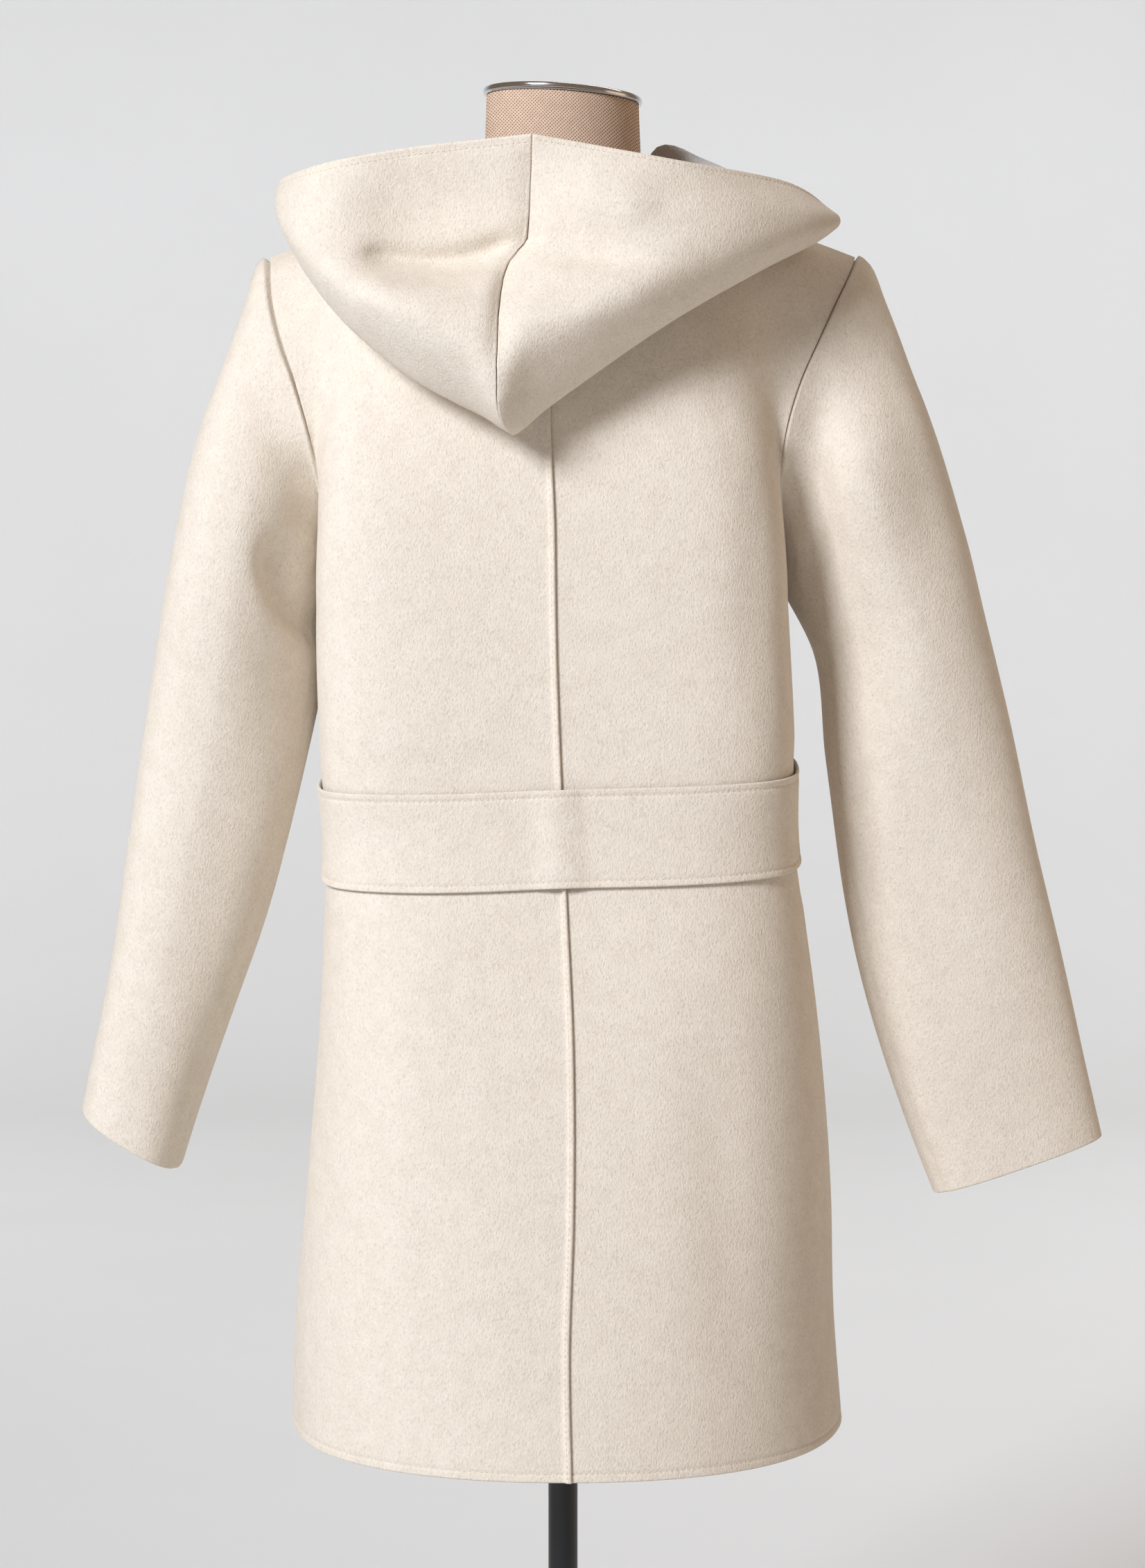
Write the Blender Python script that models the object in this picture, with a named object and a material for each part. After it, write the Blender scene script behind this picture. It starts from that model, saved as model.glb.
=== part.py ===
"""A hooded wool coat on a dress form.

Each cut piece of cloth is a thin shell. The torso, neck cap, pole and base are solids.
"""

import bmesh
import bpy
import numpy as np

# Sizes are in metres. The wearer faces +Y, their right is +X and Z is up.
# The origin lies under the base, on the axis of the pole.
CLOTH = 0.0025  # thickness of the felted double cloth
SEAM_GAP = 0.0003  # pieces stand this far apart along a seam
ARMHOLE_GAP = 0.0014
BELT_GAP = 0.0006
HOOD_GAP = 0.0009

# Heights of the coat
HEM = 0.523
HEM_SIDE_RISE = 0.004  # the hem is this much higher at the side seams
BELT_LOW = 0.926
BELT_HIGH = 0.995
YOKE = 1.100  # where the upper back and front begin at the centre
UNDERARM = 1.180

# Rows and columns of the cloth grids
SKIRT_ROWS = 7
BELT_ROWS = 2
WAIST_ROWS = 4
UPPER_ROWS = 8
HOOD_ROWS = 12
SLEEVE_ROWS = 12
SLEEVE_CROWDING = 1.3  # over 1 crowds the rows toward the armhole
TORSO_SIDES = 32
TURNED_SIDES = 48
ROUND_STEPS = 4  # points round the edge of a disc

# Columns of each panel, as degrees from its centre line to the side seam
SIDE_SEAM = 90.0
LAP_FOOT = 4.0  # a lapping panel starts to rise here
PANEL_COLUMNS = 10
COLUMN_DEGREES = np.linspace(LAP_FOOT, SIDE_SEAM, PANEL_COLUMNS)
NECK_COLUMN = 4  # the column that meets the neck end of the shoulder seam
LAP_STEP = 0.7  # a lapping panel has risen to its full height here
BACK_LAP = 1.0  # how far the left back reaches over the right back
LAP_SHORT = 0.004  # a lapping edge stops this far below the neckline, clear of the hood
FRONT_LAP = COLUMN_DEGREES[1]
BELT_END_COLUMN = 7  # the belt ends on the fronts at this column
BELT_RISE = 0.012  # the right end of the belt climbs by this much
BELT_RISE_DEGREES = np.array([62.0, SIDE_SEAM])  # it starts and ends climbing here

EDGE_REACH = 4.0  # higher makes a panel follow the armhole only close to it
YOKE_DIP = 3.0  # higher keeps the yoke level further out from the centre


def table(names, rows):
    """Columns of a table by name."""
    return dict(zip(names, np.array(rows, float).T))


# Sections of the coat below the yoke.
# A squareness of 2 is an ellipse, and more is fuller at the corners.
BODY = table(
    ("height", "half_width", "back", "front", "centre", "squareness"),
    (
        (0.523, 0.2035, 0.170, 0.165, 0.0030, 1.95),
        (0.610, 0.1980, 0.163, 0.160, 0.0015, 2.05),
        (0.703, 0.1918, 0.154, 0.153, 0.0045, 2.15),
        (0.827, 0.1810, 0.140, 0.146, 0.0043, 2.30),
        (0.915, 0.1730, 0.127, 0.138, 0.0005, 2.40),
        (0.960, 0.1695, 0.122, 0.135, -0.0015, 2.40),
        (1.011, 0.1708, 0.121, 0.134, -0.0038, 2.40),
        (1.103, 0.1696, 0.119, 0.135, -0.0070, 2.40),
        (1.180, 0.1660, 0.117, 0.132, -0.0080, 2.40),
    ),
)

# The centre line above the underarm leans to the wearer's left and comes back at the shoulders.
UPPER_CENTRE = table(
    ("height", "centre"),
    ((1.180, -0.0080), (1.285, -0.0105), (1.340, -0.0060), (1.378, 0.0), (1.430, -0.0040)),
)

ARMHOLE = table(
    ("share", "half_width", "back", "front", "height"),
    (
        (0.00, 0.1660, 0.000, 0.000, 1.180),
        (0.12, 0.1650, 0.026, 0.024, 1.192),
        (0.27, 0.1648, 0.049, 0.044, 1.217),
        (0.45, 0.1695, 0.062, 0.054, 1.251),
        (0.60, 0.1795, 0.061, 0.053, 1.286),
        (0.75, 0.1925, 0.053, 0.045, 1.320),
        (0.87, 0.2030, 0.039, 0.032, 1.350),
        (0.95, 0.2090, 0.021, 0.017, 1.369),
        (1.00, 0.2120, 0.000, 0.000, 1.378),
    ),
)

# Neckline and shoulder seam
NECK_HALF_WIDTH = 0.078
NECK_SIDE_HEIGHT = 1.428
SHOULDER_HALF_WIDTH = 0.212
SHOULDER_HEIGHT = 1.378
NECK_BACK = np.array([0.068, 1.415])  # depth behind the shoulder seam, height
NECK_FRONT = np.array([0.108, 1.345])  # depth before the shoulder seam, height
FOOT_PULL = np.array([0.0, 0.0, 0.40])
SEAM_PULL = np.array([0.0, 0.30, 0.03])
BACK_NECK_PULL = np.array([0.0, 0.10, 0.12])
FRONT_NECK_PULL = np.array([0.0, 0.05, 0.15])

# Sections of each sleeve below the armhole: the edge beside the body, the outer edge,
# the middle of the depth, half the depth, and how far the section's back hangs below its middle.
SLEEVE_COLUMNS = ("in_x", "in_z", "out_x", "out_z", "middle_y", "half_depth", "back_drop")
SLEEVE_RIGHT = table(
    SLEEVE_COLUMNS,
    (
        (0.1600, 1.1630, 0.2560, 1.2840, -0.012, 0.062, 0.010),
        (0.1625, 1.1440, 0.2894, 1.1832, -0.010, 0.056, 0.006),
        (0.1874, 1.0908, 0.3076, 1.1176, -0.005, 0.052, 0.004),
        (0.1934, 1.0112, 0.3291, 1.0366, 0.000, 0.045, 0.004),
        (0.2087, 0.9092, 0.3519, 0.9348, 0.004, 0.039, 0.005),
        (0.2322, 0.8066, 0.3759, 0.8349, 0.008, 0.035, 0.002),
        (0.2765, 0.6910, 0.3985, 0.7334, 0.012, 0.030, -0.001),
    ),
)
SLEEVE_LEFT = table(
    SLEEVE_COLUMNS,
    (
        (0.1760, 1.1600, 0.2520, 1.2800, -0.010, 0.062, 0.010),
        (0.1810, 1.1277, 0.2829, 1.1631, -0.006, 0.062, 0.008),
        (0.1815, 1.0569, 0.2988, 1.0848, 0.002, 0.056, 0.008),
        (0.1890, 1.0112, 0.3057, 1.0442, 0.006, 0.054, 0.009),
        (0.2138, 0.9194, 0.3208, 0.9501, 0.014, 0.055, 0.008),
        (0.2455, 0.8272, 0.3365, 0.8605, 0.022, 0.055, 0.006),
        (0.2837, 0.7086, 0.3564, 0.7540, 0.030, 0.052, 0.002),
    ),
)

# The hood lies open on the back. Each row is a section from the neckline out: where it folds,
# how far the outer layer swells between the fold and the face edge, and the face edge.
# The share runs from beside the centre front to the centre back.
HOOD_COLUMNS = (
    "share", "fold_x", "fold_y", "fold_z", "swell_x", "swell_y", "edge_x", "edge_y", "edge_z",
)
HOOD_RIGHT = table(
    HOOD_COLUMNS,
    (
        (0.00, 0.012, 0.112, 1.356, 0.000, 0.001, 0.010, 0.114, 1.363),
        (0.20, 0.058, 0.088, 1.398, 0.003, 0.002, 0.050, 0.096, 1.418),
        (0.33, 0.080, 0.050, 1.436, 0.004, 0.000, 0.071, 0.056, 1.4645),
        (0.44, 0.104, 0.026, 1.438, 0.005, -0.002, 0.102, 0.046, 1.4525),
        (0.55, 0.146, 0.002, 1.414, 0.006, -0.004, 0.154, 0.026, 1.427),
        (0.67, 0.186, -0.036, 1.391, 0.004, -0.008, 0.198, -0.018, 1.406),
        (0.78, 0.137, -0.086, 1.358, 0.006, -0.022, 0.162, -0.048, 1.4255),
        (0.89, 0.068, -0.128, 1.316, 0.002, -0.046, 0.082, -0.090, 1.4365),
        (1.00, -0.034, -0.138, 1.243, -0.015, -0.056, -0.0207, -0.106, 1.4525),
    ),
)
HOOD_LEFT = table(
    HOOD_COLUMNS,
    (
        (0.00, 0.012, 0.112, 1.356, 0.000, 0.001, 0.010, 0.114, 1.363),
        (0.20, 0.058, 0.088, 1.398, 0.003, 0.002, 0.050, 0.096, 1.418),
        (0.33, 0.080, 0.050, 1.434, 0.004, 0.000, 0.070, 0.058, 1.458),
        (0.44, 0.106, 0.026, 1.442, 0.005, -0.002, 0.106, 0.044, 1.458),
        (0.55, 0.152, 0.002, 1.424, 0.006, -0.004, 0.158, 0.024, 1.446),
        (0.67, 0.189, -0.040, 1.394, 0.004, -0.006, 0.203, -0.018, 1.431),
        (0.78, 0.164, -0.082, 1.338, 0.008, -0.020, 0.172, -0.044, 1.4395),
        (0.89, 0.108, -0.124, 1.286, 0.008, -0.042, 0.108, -0.088, 1.445),
        (1.00, 0.034, -0.138, 1.243, 0.015, -0.056, 0.0207, -0.106, 1.4525),
    ),
)
ROLL_OUT = 0.005  # the hood stands up from the neckline before it turns over
ROLL_UP = 0.012
HOOD_KNOTS = np.array([0.0, 0.1, 0.34, 0.58, 0.8, 1.0])

# Dress form: sections of the torso and neck.
# A squareness under 2 makes a section run to a ridge over the shoulders.
TORSO = table(
    ("height", "half_width", "back", "front", "squareness"),
    (
        (0.700, 0.146, 0.100, 0.102, 2.3),
        (0.712, 0.158, 0.112, 0.114, 2.3),
        (0.800, 0.163, 0.118, 0.120, 2.3),
        (0.880, 0.154, 0.108, 0.112, 2.3),
        (0.970, 0.124, 0.086, 0.094, 2.2),
        (1.060, 0.134, 0.090, 0.104, 2.2),
        (1.150, 0.144, 0.098, 0.122, 2.2),
        (1.220, 0.146, 0.098, 0.116, 2.2),
        (1.290, 0.148, 0.088, 0.096, 2.1),
        (1.335, 0.156, 0.074, 0.072, 1.9),
        (1.362, 0.163, 0.062, 0.056, 1.6),
        (1.380, 0.164, 0.052, 0.046, 1.4),
        (1.392, 0.155, 0.049, 0.043, 1.25),
        (1.404, 0.1265, 0.049, 0.042, 1.2),
        (1.412, 0.094, 0.050, 0.044, 1.25),
        (1.420, 0.070, 0.051, 0.048, 1.5),
        (1.430, 0.0605, 0.0535, 0.0530, 1.9),
        (1.446, 0.0565, 0.0555, 0.0555, 2.0),
        (1.4895, 0.0550, 0.0550, 0.0550, 2.0),
    ),
)
CAP_TILT = -0.066  # rise of the neck's top per metre of X

# Neck cap, pole and base
CAP_RADIUS = 0.0575
CAP_THICKNESS = 0.005
CAP_ROUND = 0.002
POLE_RADIUS = 0.0109
BASE_RADIUS = 0.160
BASE_THICKNESS = 0.012
BASE_ROUND = 0.004

COLOURS = {
    "coat": (0.80, 0.74, 0.66, 1.0),
    "form": (0.35, 0.27, 0.20, 1.0),
    "metal": (0.75, 0.75, 0.76, 1.0),
    "black": (0.02, 0.02, 0.02, 1.0),
}


def smooth(knots, values, at):
    """Values at the given places on a curve that passes smoothly through every knot."""
    values = np.asarray(values, float)
    at = np.asarray(at, float)
    slopes = np.gradient(values, knots, axis=0)
    low = np.clip(np.searchsorted(knots, at) - 1, 0, len(knots) - 2)
    span = knots[low + 1] - knots[low]
    share = (at - knots[low]) / span
    extra = (1,) * (values.ndim - 1)
    span = span.reshape(span.shape + extra)
    share = share.reshape(share.shape + extra)
    return hermite(values[low], slopes[low] * span, values[low + 1], slopes[low + 1] * span, share)


def hermite(start, start_pull, end, end_pull, share):
    """A point on the cubic from start to end that leaves and arrives along the two pulls."""
    square = share * share
    cube = square * share
    return (
        start * (2 * cube - 3 * square + 1)
        + start_pull * (cube - 2 * square + share)
        + end * (3 * square - 2 * cube)
        + end_pull * (cube - square)
    )


def rounded(half_width, depth, angle, squareness):
    """X and depth of a squared ellipse at an angle from its centre line."""
    across = np.sin(angle)
    along = np.cos(angle)
    size = (np.abs(across) ** squareness + np.abs(along) ** squareness) ** (-1 / squareness)
    return half_width * across * size, depth * along * size


def body_point(face, height, angle):
    """A point of the coat below the yoke, with X measured from the coat's own centre line."""
    at = {name: smooth(BODY["height"], column, height) for name, column in BODY.items()}
    x, depth = rounded(at["half_width"], at[face], angle, at["squareness"])
    return np.stack([x, depth * facing(face), height], axis=-1)


def facing(face):
    """The side of the shoulder line that a panel lies on."""
    return 1.0 if face == "front" else -1.0


def top_edge(face, across):
    """A point of the neckline or shoulder seam by the share across from the centre, and the cloth's pull there."""
    neck_share = COLUMN_DEGREES[NECK_COLUMN] / SIDE_SEAM
    depth, height = NECK_FRONT if face == "front" else NECK_BACK
    neck_pull = FRONT_NECK_PULL if face == "front" else BACK_NECK_PULL
    if across <= neck_share:
        turn = across / neck_share * np.pi / 2
        rise = 1 - np.cos(turn)
        point = np.array([
            NECK_HALF_WIDTH * np.sin(turn),
            facing(face) * depth * np.cos(turn),
            height + (NECK_SIDE_HEIGHT - height) * rise,
        ])
        pull = neck_pull + (SEAM_PULL - neck_pull) * rise
    else:
        share = (across - neck_share) / (1 - neck_share)
        point = np.array([
            NECK_HALF_WIDTH + (SHOULDER_HALF_WIDTH - NECK_HALF_WIDTH) * share,
            0.0,
            NECK_SIDE_HEIGHT + (SHOULDER_HEIGHT - NECK_SIDE_HEIGHT) * share,
        ])
        pull = SEAM_PULL
    return point, pull * np.array([1.0, -facing(face), 1.0])


def armhole_point(face, share):
    """A point of the armhole by the share from underarm to shoulder."""
    columns = np.stack([ARMHOLE["half_width"], ARMHOLE[face] * facing(face), ARMHOLE["height"]], axis=-1)
    return smooth(ARMHOLE["share"], columns, share)


def yoke_height(across):
    return YOKE + (UNDERARM - YOKE) * across**YOKE_DIP


def upper_column(face, across, shares):
    """The points of one column from the yoke to the shoulder or neckline, following the armhole near it."""
    foot = body_point(face, yoke_height(across), across * np.pi / 2)
    top, pull = top_edge(face, across)
    corner = body_point(face, UNDERARM, np.pi / 2)
    shoulder, shoulder_pull = top_edge(face, 1.0)
    points = []
    for share in shares:
        free = hermite(foot, FOOT_PULL, top, pull, share)
        free_edge = hermite(corner, FOOT_PULL, shoulder, shoulder_pull, share)
        points.append(free + across**EDGE_REACH * (armhole_point(face, share) - free_edge))
    return np.array(points)


def centre_line(height):
    """X of the coat's centre line."""
    low = smooth(BODY["height"], BODY["centre"], np.minimum(height, UNDERARM))
    high = smooth(UPPER_CENTRE["height"], UPPER_CENTRE["centre"], np.maximum(height, UNDERARM))
    return np.where(height < UNDERARM, low, high)


def panel_grid(face, degrees):
    """Rows from hem to shoulder of the columns at these degrees, with X measured from the centre line."""
    belt = np.linspace(BELT_LOW, BELT_HIGH, BELT_ROWS, endpoint=False)
    shares = np.linspace(0.0, 1.0, UPPER_ROWS + 1)
    columns = []
    for degree in degrees:
        across = abs(degree) / SIDE_SEAM
        skirt = np.linspace(HEM + HEM_SIDE_RISE * across**2, BELT_LOW, SKIRT_ROWS, endpoint=False)
        waist = np.linspace(BELT_HIGH, yoke_height(across), WAIST_ROWS, endpoint=False)
        heights = np.concatenate([skirt, belt, waist])
        below = body_point(face, heights, np.full(len(heights), across * np.pi / 2))
        column = np.concatenate([below, upper_column(face, across, shares)])
        column[:, 0] *= np.sign(degree)
        columns.append(column)
    return np.stack(columns, axis=1)


def placed(points, side):
    """Points measured from the centre line, set on one side of the coat."""
    out = points.copy()
    out[..., 0] = centre_line(points[..., 2]) + side * points[..., 0]
    return out


def unit(vectors):
    return vectors / np.linalg.norm(vectors, axis=-1, keepdims=True)


def grid_normals(grid, ring=False):
    """Unit normals of a grid of points. A ring closes on itself across its columns."""
    along = np.gradient(grid, axis=0)
    if ring:
        across = np.roll(grid, -1, axis=1) - np.roll(grid, 1, axis=1)
    else:
        across = np.gradient(grid, axis=1)
    return unit(np.cross(across, along))


def panel(face, side, lap):
    """Outer points and outward normals of a front or back. A lap, in degrees, carries it over the other side."""
    columns = COLUMN_DEGREES
    if lap:
        laps = [-degree for degree in COLUMN_DEGREES if degree < lap][::-1]
        degrees = np.concatenate([[-lap], laps, [LAP_STEP], columns])
    else:
        degrees = np.concatenate([[0.0], columns])
    grid = placed(panel_grid(face, degrees), side)
    normals = grid_normals(grid) * side * -facing(face)
    neck = len(degrees) - len(columns) + NECK_COLUMN
    normals[-UPPER_ROWS:, -1] = normals[-UPPER_ROWS:, -2]
    for edge in (np.s_[:-UPPER_ROWS, -1], np.s_[-1, neck:]):
        normals[edge + (1,)] = 0.0
        normals[edge] = unit(normals[edge])
    grid[..., 1] += facing(face) * SEAM_GAP / 2
    lapping = (degrees < LAP_FOOT) * bool(lap)
    grid += normals * (CLOTH + SEAM_GAP) * lapping[None, :, None]
    grid[-1] += unit(grid[-2] - grid[-1]) * LAP_SHORT * lapping[:, None]
    return grid, normals


def armhole_ring(back, front):
    """One value a point round the armhole, from the underarm up the back and down the front."""
    return np.concatenate([back[-UPPER_ROWS - 1:, -1], front[-UPPER_ROWS - 1:, -1][-2:0:-1]])


def sleeve(side, sections, armhole, armhole_normals):
    """Rings of points from the armhole to the cuff, and their outward normals."""
    turns = np.linspace(0.0, 1.0, UPPER_ROWS + 1)
    armhole = armhole + np.array([side * ARMHOLE_GAP, 0.0, 0.0])
    angles = np.concatenate([np.pi * (1 - turns), -np.pi * (1 - turns[-2:0:-1])])
    rings = [armhole]
    for row in zip(*sections.values()):
        in_x, in_z, out_x, out_z, middle_y, half_depth, back_drop = row
        middle = np.array([side * (in_x + out_x) / 2, middle_y, (in_z + out_z) / 2])
        outward = np.array([side * (out_x - in_x) / 2, 0.0, (out_z - in_z) / 2])
        backward = np.array([0.0, -half_depth, -back_drop])
        rings.append(middle + np.cos(angles)[:, None] * outward + np.sin(angles)[:, None] * backward)
    rings = np.array(rings)
    lengths = np.linalg.norm(np.diff(rings.mean(axis=1), axis=0), axis=-1)
    knots = np.concatenate([[0.0], np.cumsum(lengths)])
    shares = np.linspace(0.0, 1.0, SLEEVE_ROWS + 1) ** SLEEVE_CROWDING
    grid = smooth(knots, rings, shares * knots[-1])
    normals = grid_normals(grid, ring=True) * -side
    normals[0] = agreed(normals[0], armhole_normals)
    return grid, normals


def agreed(own, joined):
    """Normals along a sewn edge: those of the piece it joins, but its own where the two face opposite ways."""
    share = np.clip(np.sum(own * joined, axis=-1, keepdims=True), 0.0, 1.0)
    return unit(own * (1 - share) + joined * share)


def neckline(back, front):
    """Values along the neckline and halfway between, from beside the centre front to the centre back."""
    first_front = front.shape[1] - len(COLUMN_DEGREES)
    first_back = back.shape[1] - len(COLUMN_DEGREES) - 1
    neck_front = front[-1, first_front:first_front + NECK_COLUMN + 1]
    neck_back = back[-1, first_back:first_back + NECK_COLUMN + 2][::-1]
    corner = (neck_front[-1:] + neck_back[:1]) / 2
    coarse = np.concatenate([neck_front[:-1], corner, neck_back[1:]])
    halves = np.arange(2 * len(coarse) - 1) / 2
    return np.stack([np.interp(halves, np.arange(len(coarse)), axis) for axis in coarse.T], axis=-1)


def hood(side, sections, neck, neck_normals):
    """Rows from the neckline, round the fold, to the face edge of one half, and their outward normals."""
    outward = unit(neck * np.array([1.0, 1.0, 0.0]))
    upward = np.array([0.0, 0.0, 1.0])
    neck = neck + unit(upward - outward) * HOOD_GAP
    shares = np.linspace(0.0, 1.0, len(neck))
    at = {name: smooth(sections["share"], column, shares) for name, column in sections.items()}
    fold = np.stack([side * at["fold_x"], at["fold_y"], at["fold_z"]], axis=-1)
    edge = np.stack([side * at["edge_x"], at["edge_y"], at["edge_z"]], axis=-1)
    swell = np.stack([side * at["swell_x"], at["swell_y"], np.zeros(len(neck))], axis=-1)
    roll = neck + outward * ROLL_OUT + upward * ROLL_UP
    under = (roll + fold) / 2
    outer = (fold + edge) / 2 + swell
    controls = np.stack([neck, roll, under, fold, outer, edge])
    grid = smooth(HOOD_KNOTS, controls, np.linspace(0.0, 1.0, HOOD_ROWS + 1))
    grid[:, -1, 0] += side * HOOD_GAP / 2
    normals = grid_normals(grid) * -side
    normals[0] = agreed(normals[0], unit(neck_normals))
    normals[:, -1, 0] = 0.0
    return grid, unit(normals)


def belt():
    """The band across the back and round the sides, from the panels' points moved out."""
    side_degrees = np.concatenate([COLUMN_DEGREES, 2 * SIDE_SEAM - COLUMN_DEGREES[-2:BELT_END_COLUMN - 1:-1]])
    degrees = np.concatenate([-side_degrees[::-1], side_degrees])
    heights = np.linspace(BELT_LOW, BELT_HIGH, BELT_ROWS + 1)
    columns = []
    for degree in degrees:
        face = "back" if abs(degree) <= SIDE_SEAM else "front"
        turn = min(abs(degree), 2 * SIDE_SEAM - abs(degree))
        climb = heights + BELT_RISE * np.interp(degree, BELT_RISE_DEGREES, [0.0, 1.0])
        column = body_point(face, climb, np.full(len(climb), np.radians(turn)))
        column[:, 0] = centre_line(climb) + np.sign(degree) * column[:, 0]
        columns.append(column)
    grid = np.stack(columns, axis=1)
    normals = grid_normals(grid)
    over_lap = (CLOTH + SEAM_GAP) * (np.abs(degrees) <= LAP_FOOT)
    return grid + normals * (CLOTH + BELT_GAP + over_lap)[None, :, None], normals


def add_solid(name, points, faces, colour):
    """One closed body with its faces turned outward, as an object with its own material."""
    mesh = bpy.data.meshes.new(name)
    mesh.from_pydata([tuple(point) for point in points], [], faces)
    shape = bmesh.new()
    shape.from_mesh(mesh)
    bmesh.ops.recalc_face_normals(shape, faces=shape.faces)
    shape.to_mesh(mesh)
    shape.free()
    obj = bpy.data.objects.new(name, mesh)
    bpy.context.collection.objects.link(obj)
    material = bpy.data.materials.new(name)
    material.use_nodes = True
    material.node_tree.nodes["Principled BSDF"].inputs["Base Color"].default_value = COLOURS[colour]
    mesh.materials.append(material)


def quads(rows, columns, ring, first):
    """Faces of a grid of points numbered from first, row by row."""
    faces = []
    for row in range(rows - 1):
        for column in range(columns if ring else columns - 1):
            beside = (column + 1) % columns
            corners = ((row, column), (row, beside), (row + 1, beside), (row + 1, column))
            faces.append([first + r * columns + c for r, c in corners])
    return faces


def add_cloth(name, outer, normals, ring=False):
    """A shell of cloth from its outer points, with its cut edges closed."""
    rows, columns = outer.shape[:2]
    count = rows * columns
    points = np.concatenate([outer.reshape(-1, 3), (outer - normals * CLOTH).reshape(-1, 3)])
    faces = quads(rows, columns, ring, 0) + [face[::-1] for face in quads(rows, columns, ring, count)]
    number = np.arange(count).reshape(rows, columns)
    if ring:
        edges = [np.append(number[0], number[0, 0]), np.append(number[-1], number[-1, 0])]
    else:
        edges = [np.concatenate([number[0], number[1:, -1], number[-1, -2::-1], number[-2::-1, 0]])]
    for edge in edges:
        for here, beyond in zip(edge[:-1], edge[1:]):
            faces.append([here, beyond, beyond + count, here + count])
    add_solid(name, points, faces, "coat")


def add_rings(name, rings, colour):
    """A solid through rings of points, closed flat at both ends."""
    count, sides = rings.shape[:2]
    ends = [rings[0].mean(axis=0), rings[-1].mean(axis=0)]
    points = np.concatenate([rings.reshape(-1, 3), ends])
    faces = quads(count, sides, True, 0)
    for end, row in ((count * sides, 0), (count * sides + 1, count - 1)):
        for side in range(sides):
            faces.append([end, row * sides + side, row * sides + (side + 1) % sides])
    add_solid(name, points, faces, colour)


def turned(profile, sides):
    """Rings about the pole's axis from a profile of radius and height."""
    angles = np.linspace(0.0, 2 * np.pi, sides, endpoint=False)
    rings = [
        np.stack([radius * np.cos(angles), radius * np.sin(angles), np.full(sides, height)], axis=-1)
        for radius, height in profile
    ]
    return np.array(rings)


def disc_profile(radius, low, high, edge):
    """Radius and height round the edge of a disc whose rims are rounded by edge."""
    steps = np.linspace(0.0, np.pi / 2, ROUND_STEPS)
    lower = [(radius - edge + edge * np.sin(a), low + edge - edge * np.cos(a)) for a in steps]
    upper = [(radius - edge + edge * np.cos(a), high - edge + edge * np.sin(a)) for a in steps]
    return lower + upper


def tilted(rings, low):
    """Rings with everything above a height sheared to the slope of the cap."""
    out = rings.copy()
    out[..., 2] += CAP_TILT * out[..., 0] * (rings[..., 2] > low)
    return out


def add_form():
    """The dress form: torso with neck, metal cap, pole and base."""
    angles = np.linspace(0.0, 2 * np.pi, TORSO_SIDES, endpoint=False)
    rings = []
    for row in range(len(TORSO["height"])):
        half_width = TORSO["half_width"][row]
        depth = np.where(np.cos(angles) > 0, TORSO["back"][row], TORSO["front"][row])
        x, y = rounded(half_width, depth, angles, TORSO["squareness"][row])
        rings.append(np.stack([x, -y, np.full(TORSO_SIDES, TORSO["height"][row])], axis=-1))
    neck_top = TORSO["height"][-1]
    below_top = (TORSO["height"][-1] + TORSO["height"][-2]) / 2
    add_rings("form_torso", tilted(np.array(rings), below_top), "form")
    cap_low = neck_top + SEAM_GAP
    cap = turned(disc_profile(CAP_RADIUS, cap_low, cap_low + CAP_THICKNESS, CAP_ROUND), TURNED_SIDES)
    add_rings("neck_cap", tilted(cap, 0.0), "metal")
    pole_top = TORSO["height"][0] - SEAM_GAP
    pole = [(POLE_RADIUS, BASE_THICKNESS + SEAM_GAP), (POLE_RADIUS, pole_top)]
    add_rings("pole", turned(pole, TURNED_SIDES // 2), "black")
    add_rings("base", turned(disc_profile(BASE_RADIUS, 0.0, BASE_THICKNESS, BASE_ROUND), TURNED_SIDES), "black")


def add_coat():
    """Every cut piece of the coat. The left back laps the right back, and the right front laps the left front."""
    laps = {("back", -1): BACK_LAP, ("back", 1): 0.0, ("front", -1): 0.0, ("front", 1): FRONT_LAP}
    for side, name, sleeve_sections, hood_sections in (
        (-1, "left", SLEEVE_LEFT, HOOD_LEFT),
        (1, "right", SLEEVE_RIGHT, HOOD_RIGHT),
    ):
        back, back_normals = panel("back", side, laps["back", side])
        front, front_normals = panel("front", side, laps["front", side])
        add_cloth("back_" + name, back, back_normals)
        add_cloth("front_" + name, front, front_normals)
        armhole = armhole_ring(back, front)
        armhole_normals = armhole_ring(back_normals, front_normals)
        add_cloth("sleeve_" + name, *sleeve(side, sleeve_sections, armhole, armhole_normals), ring=True)
        neck = neckline(back, front)
        neck_normals = neckline(back_normals, front_normals)
        add_cloth("hood_" + name, *hood(side, hood_sections, neck, neck_normals))
    add_cloth("belt_back", *belt())


for existing in list(bpy.data.objects):
    bpy.data.objects.remove(existing)
add_form()
add_coat()
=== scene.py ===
"""Looks of the hooded wool coat and of the dress form it hangs on.

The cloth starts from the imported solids' sections at a finer pitch, with the hood, the belt, the sleeves and
the upper back set some millimetres closer to the photograph. It then takes its seams, laps, creases and
stitching. Sizes are in metres. The wearer faces +Y, their right is +X and Z is up.
"""

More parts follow.
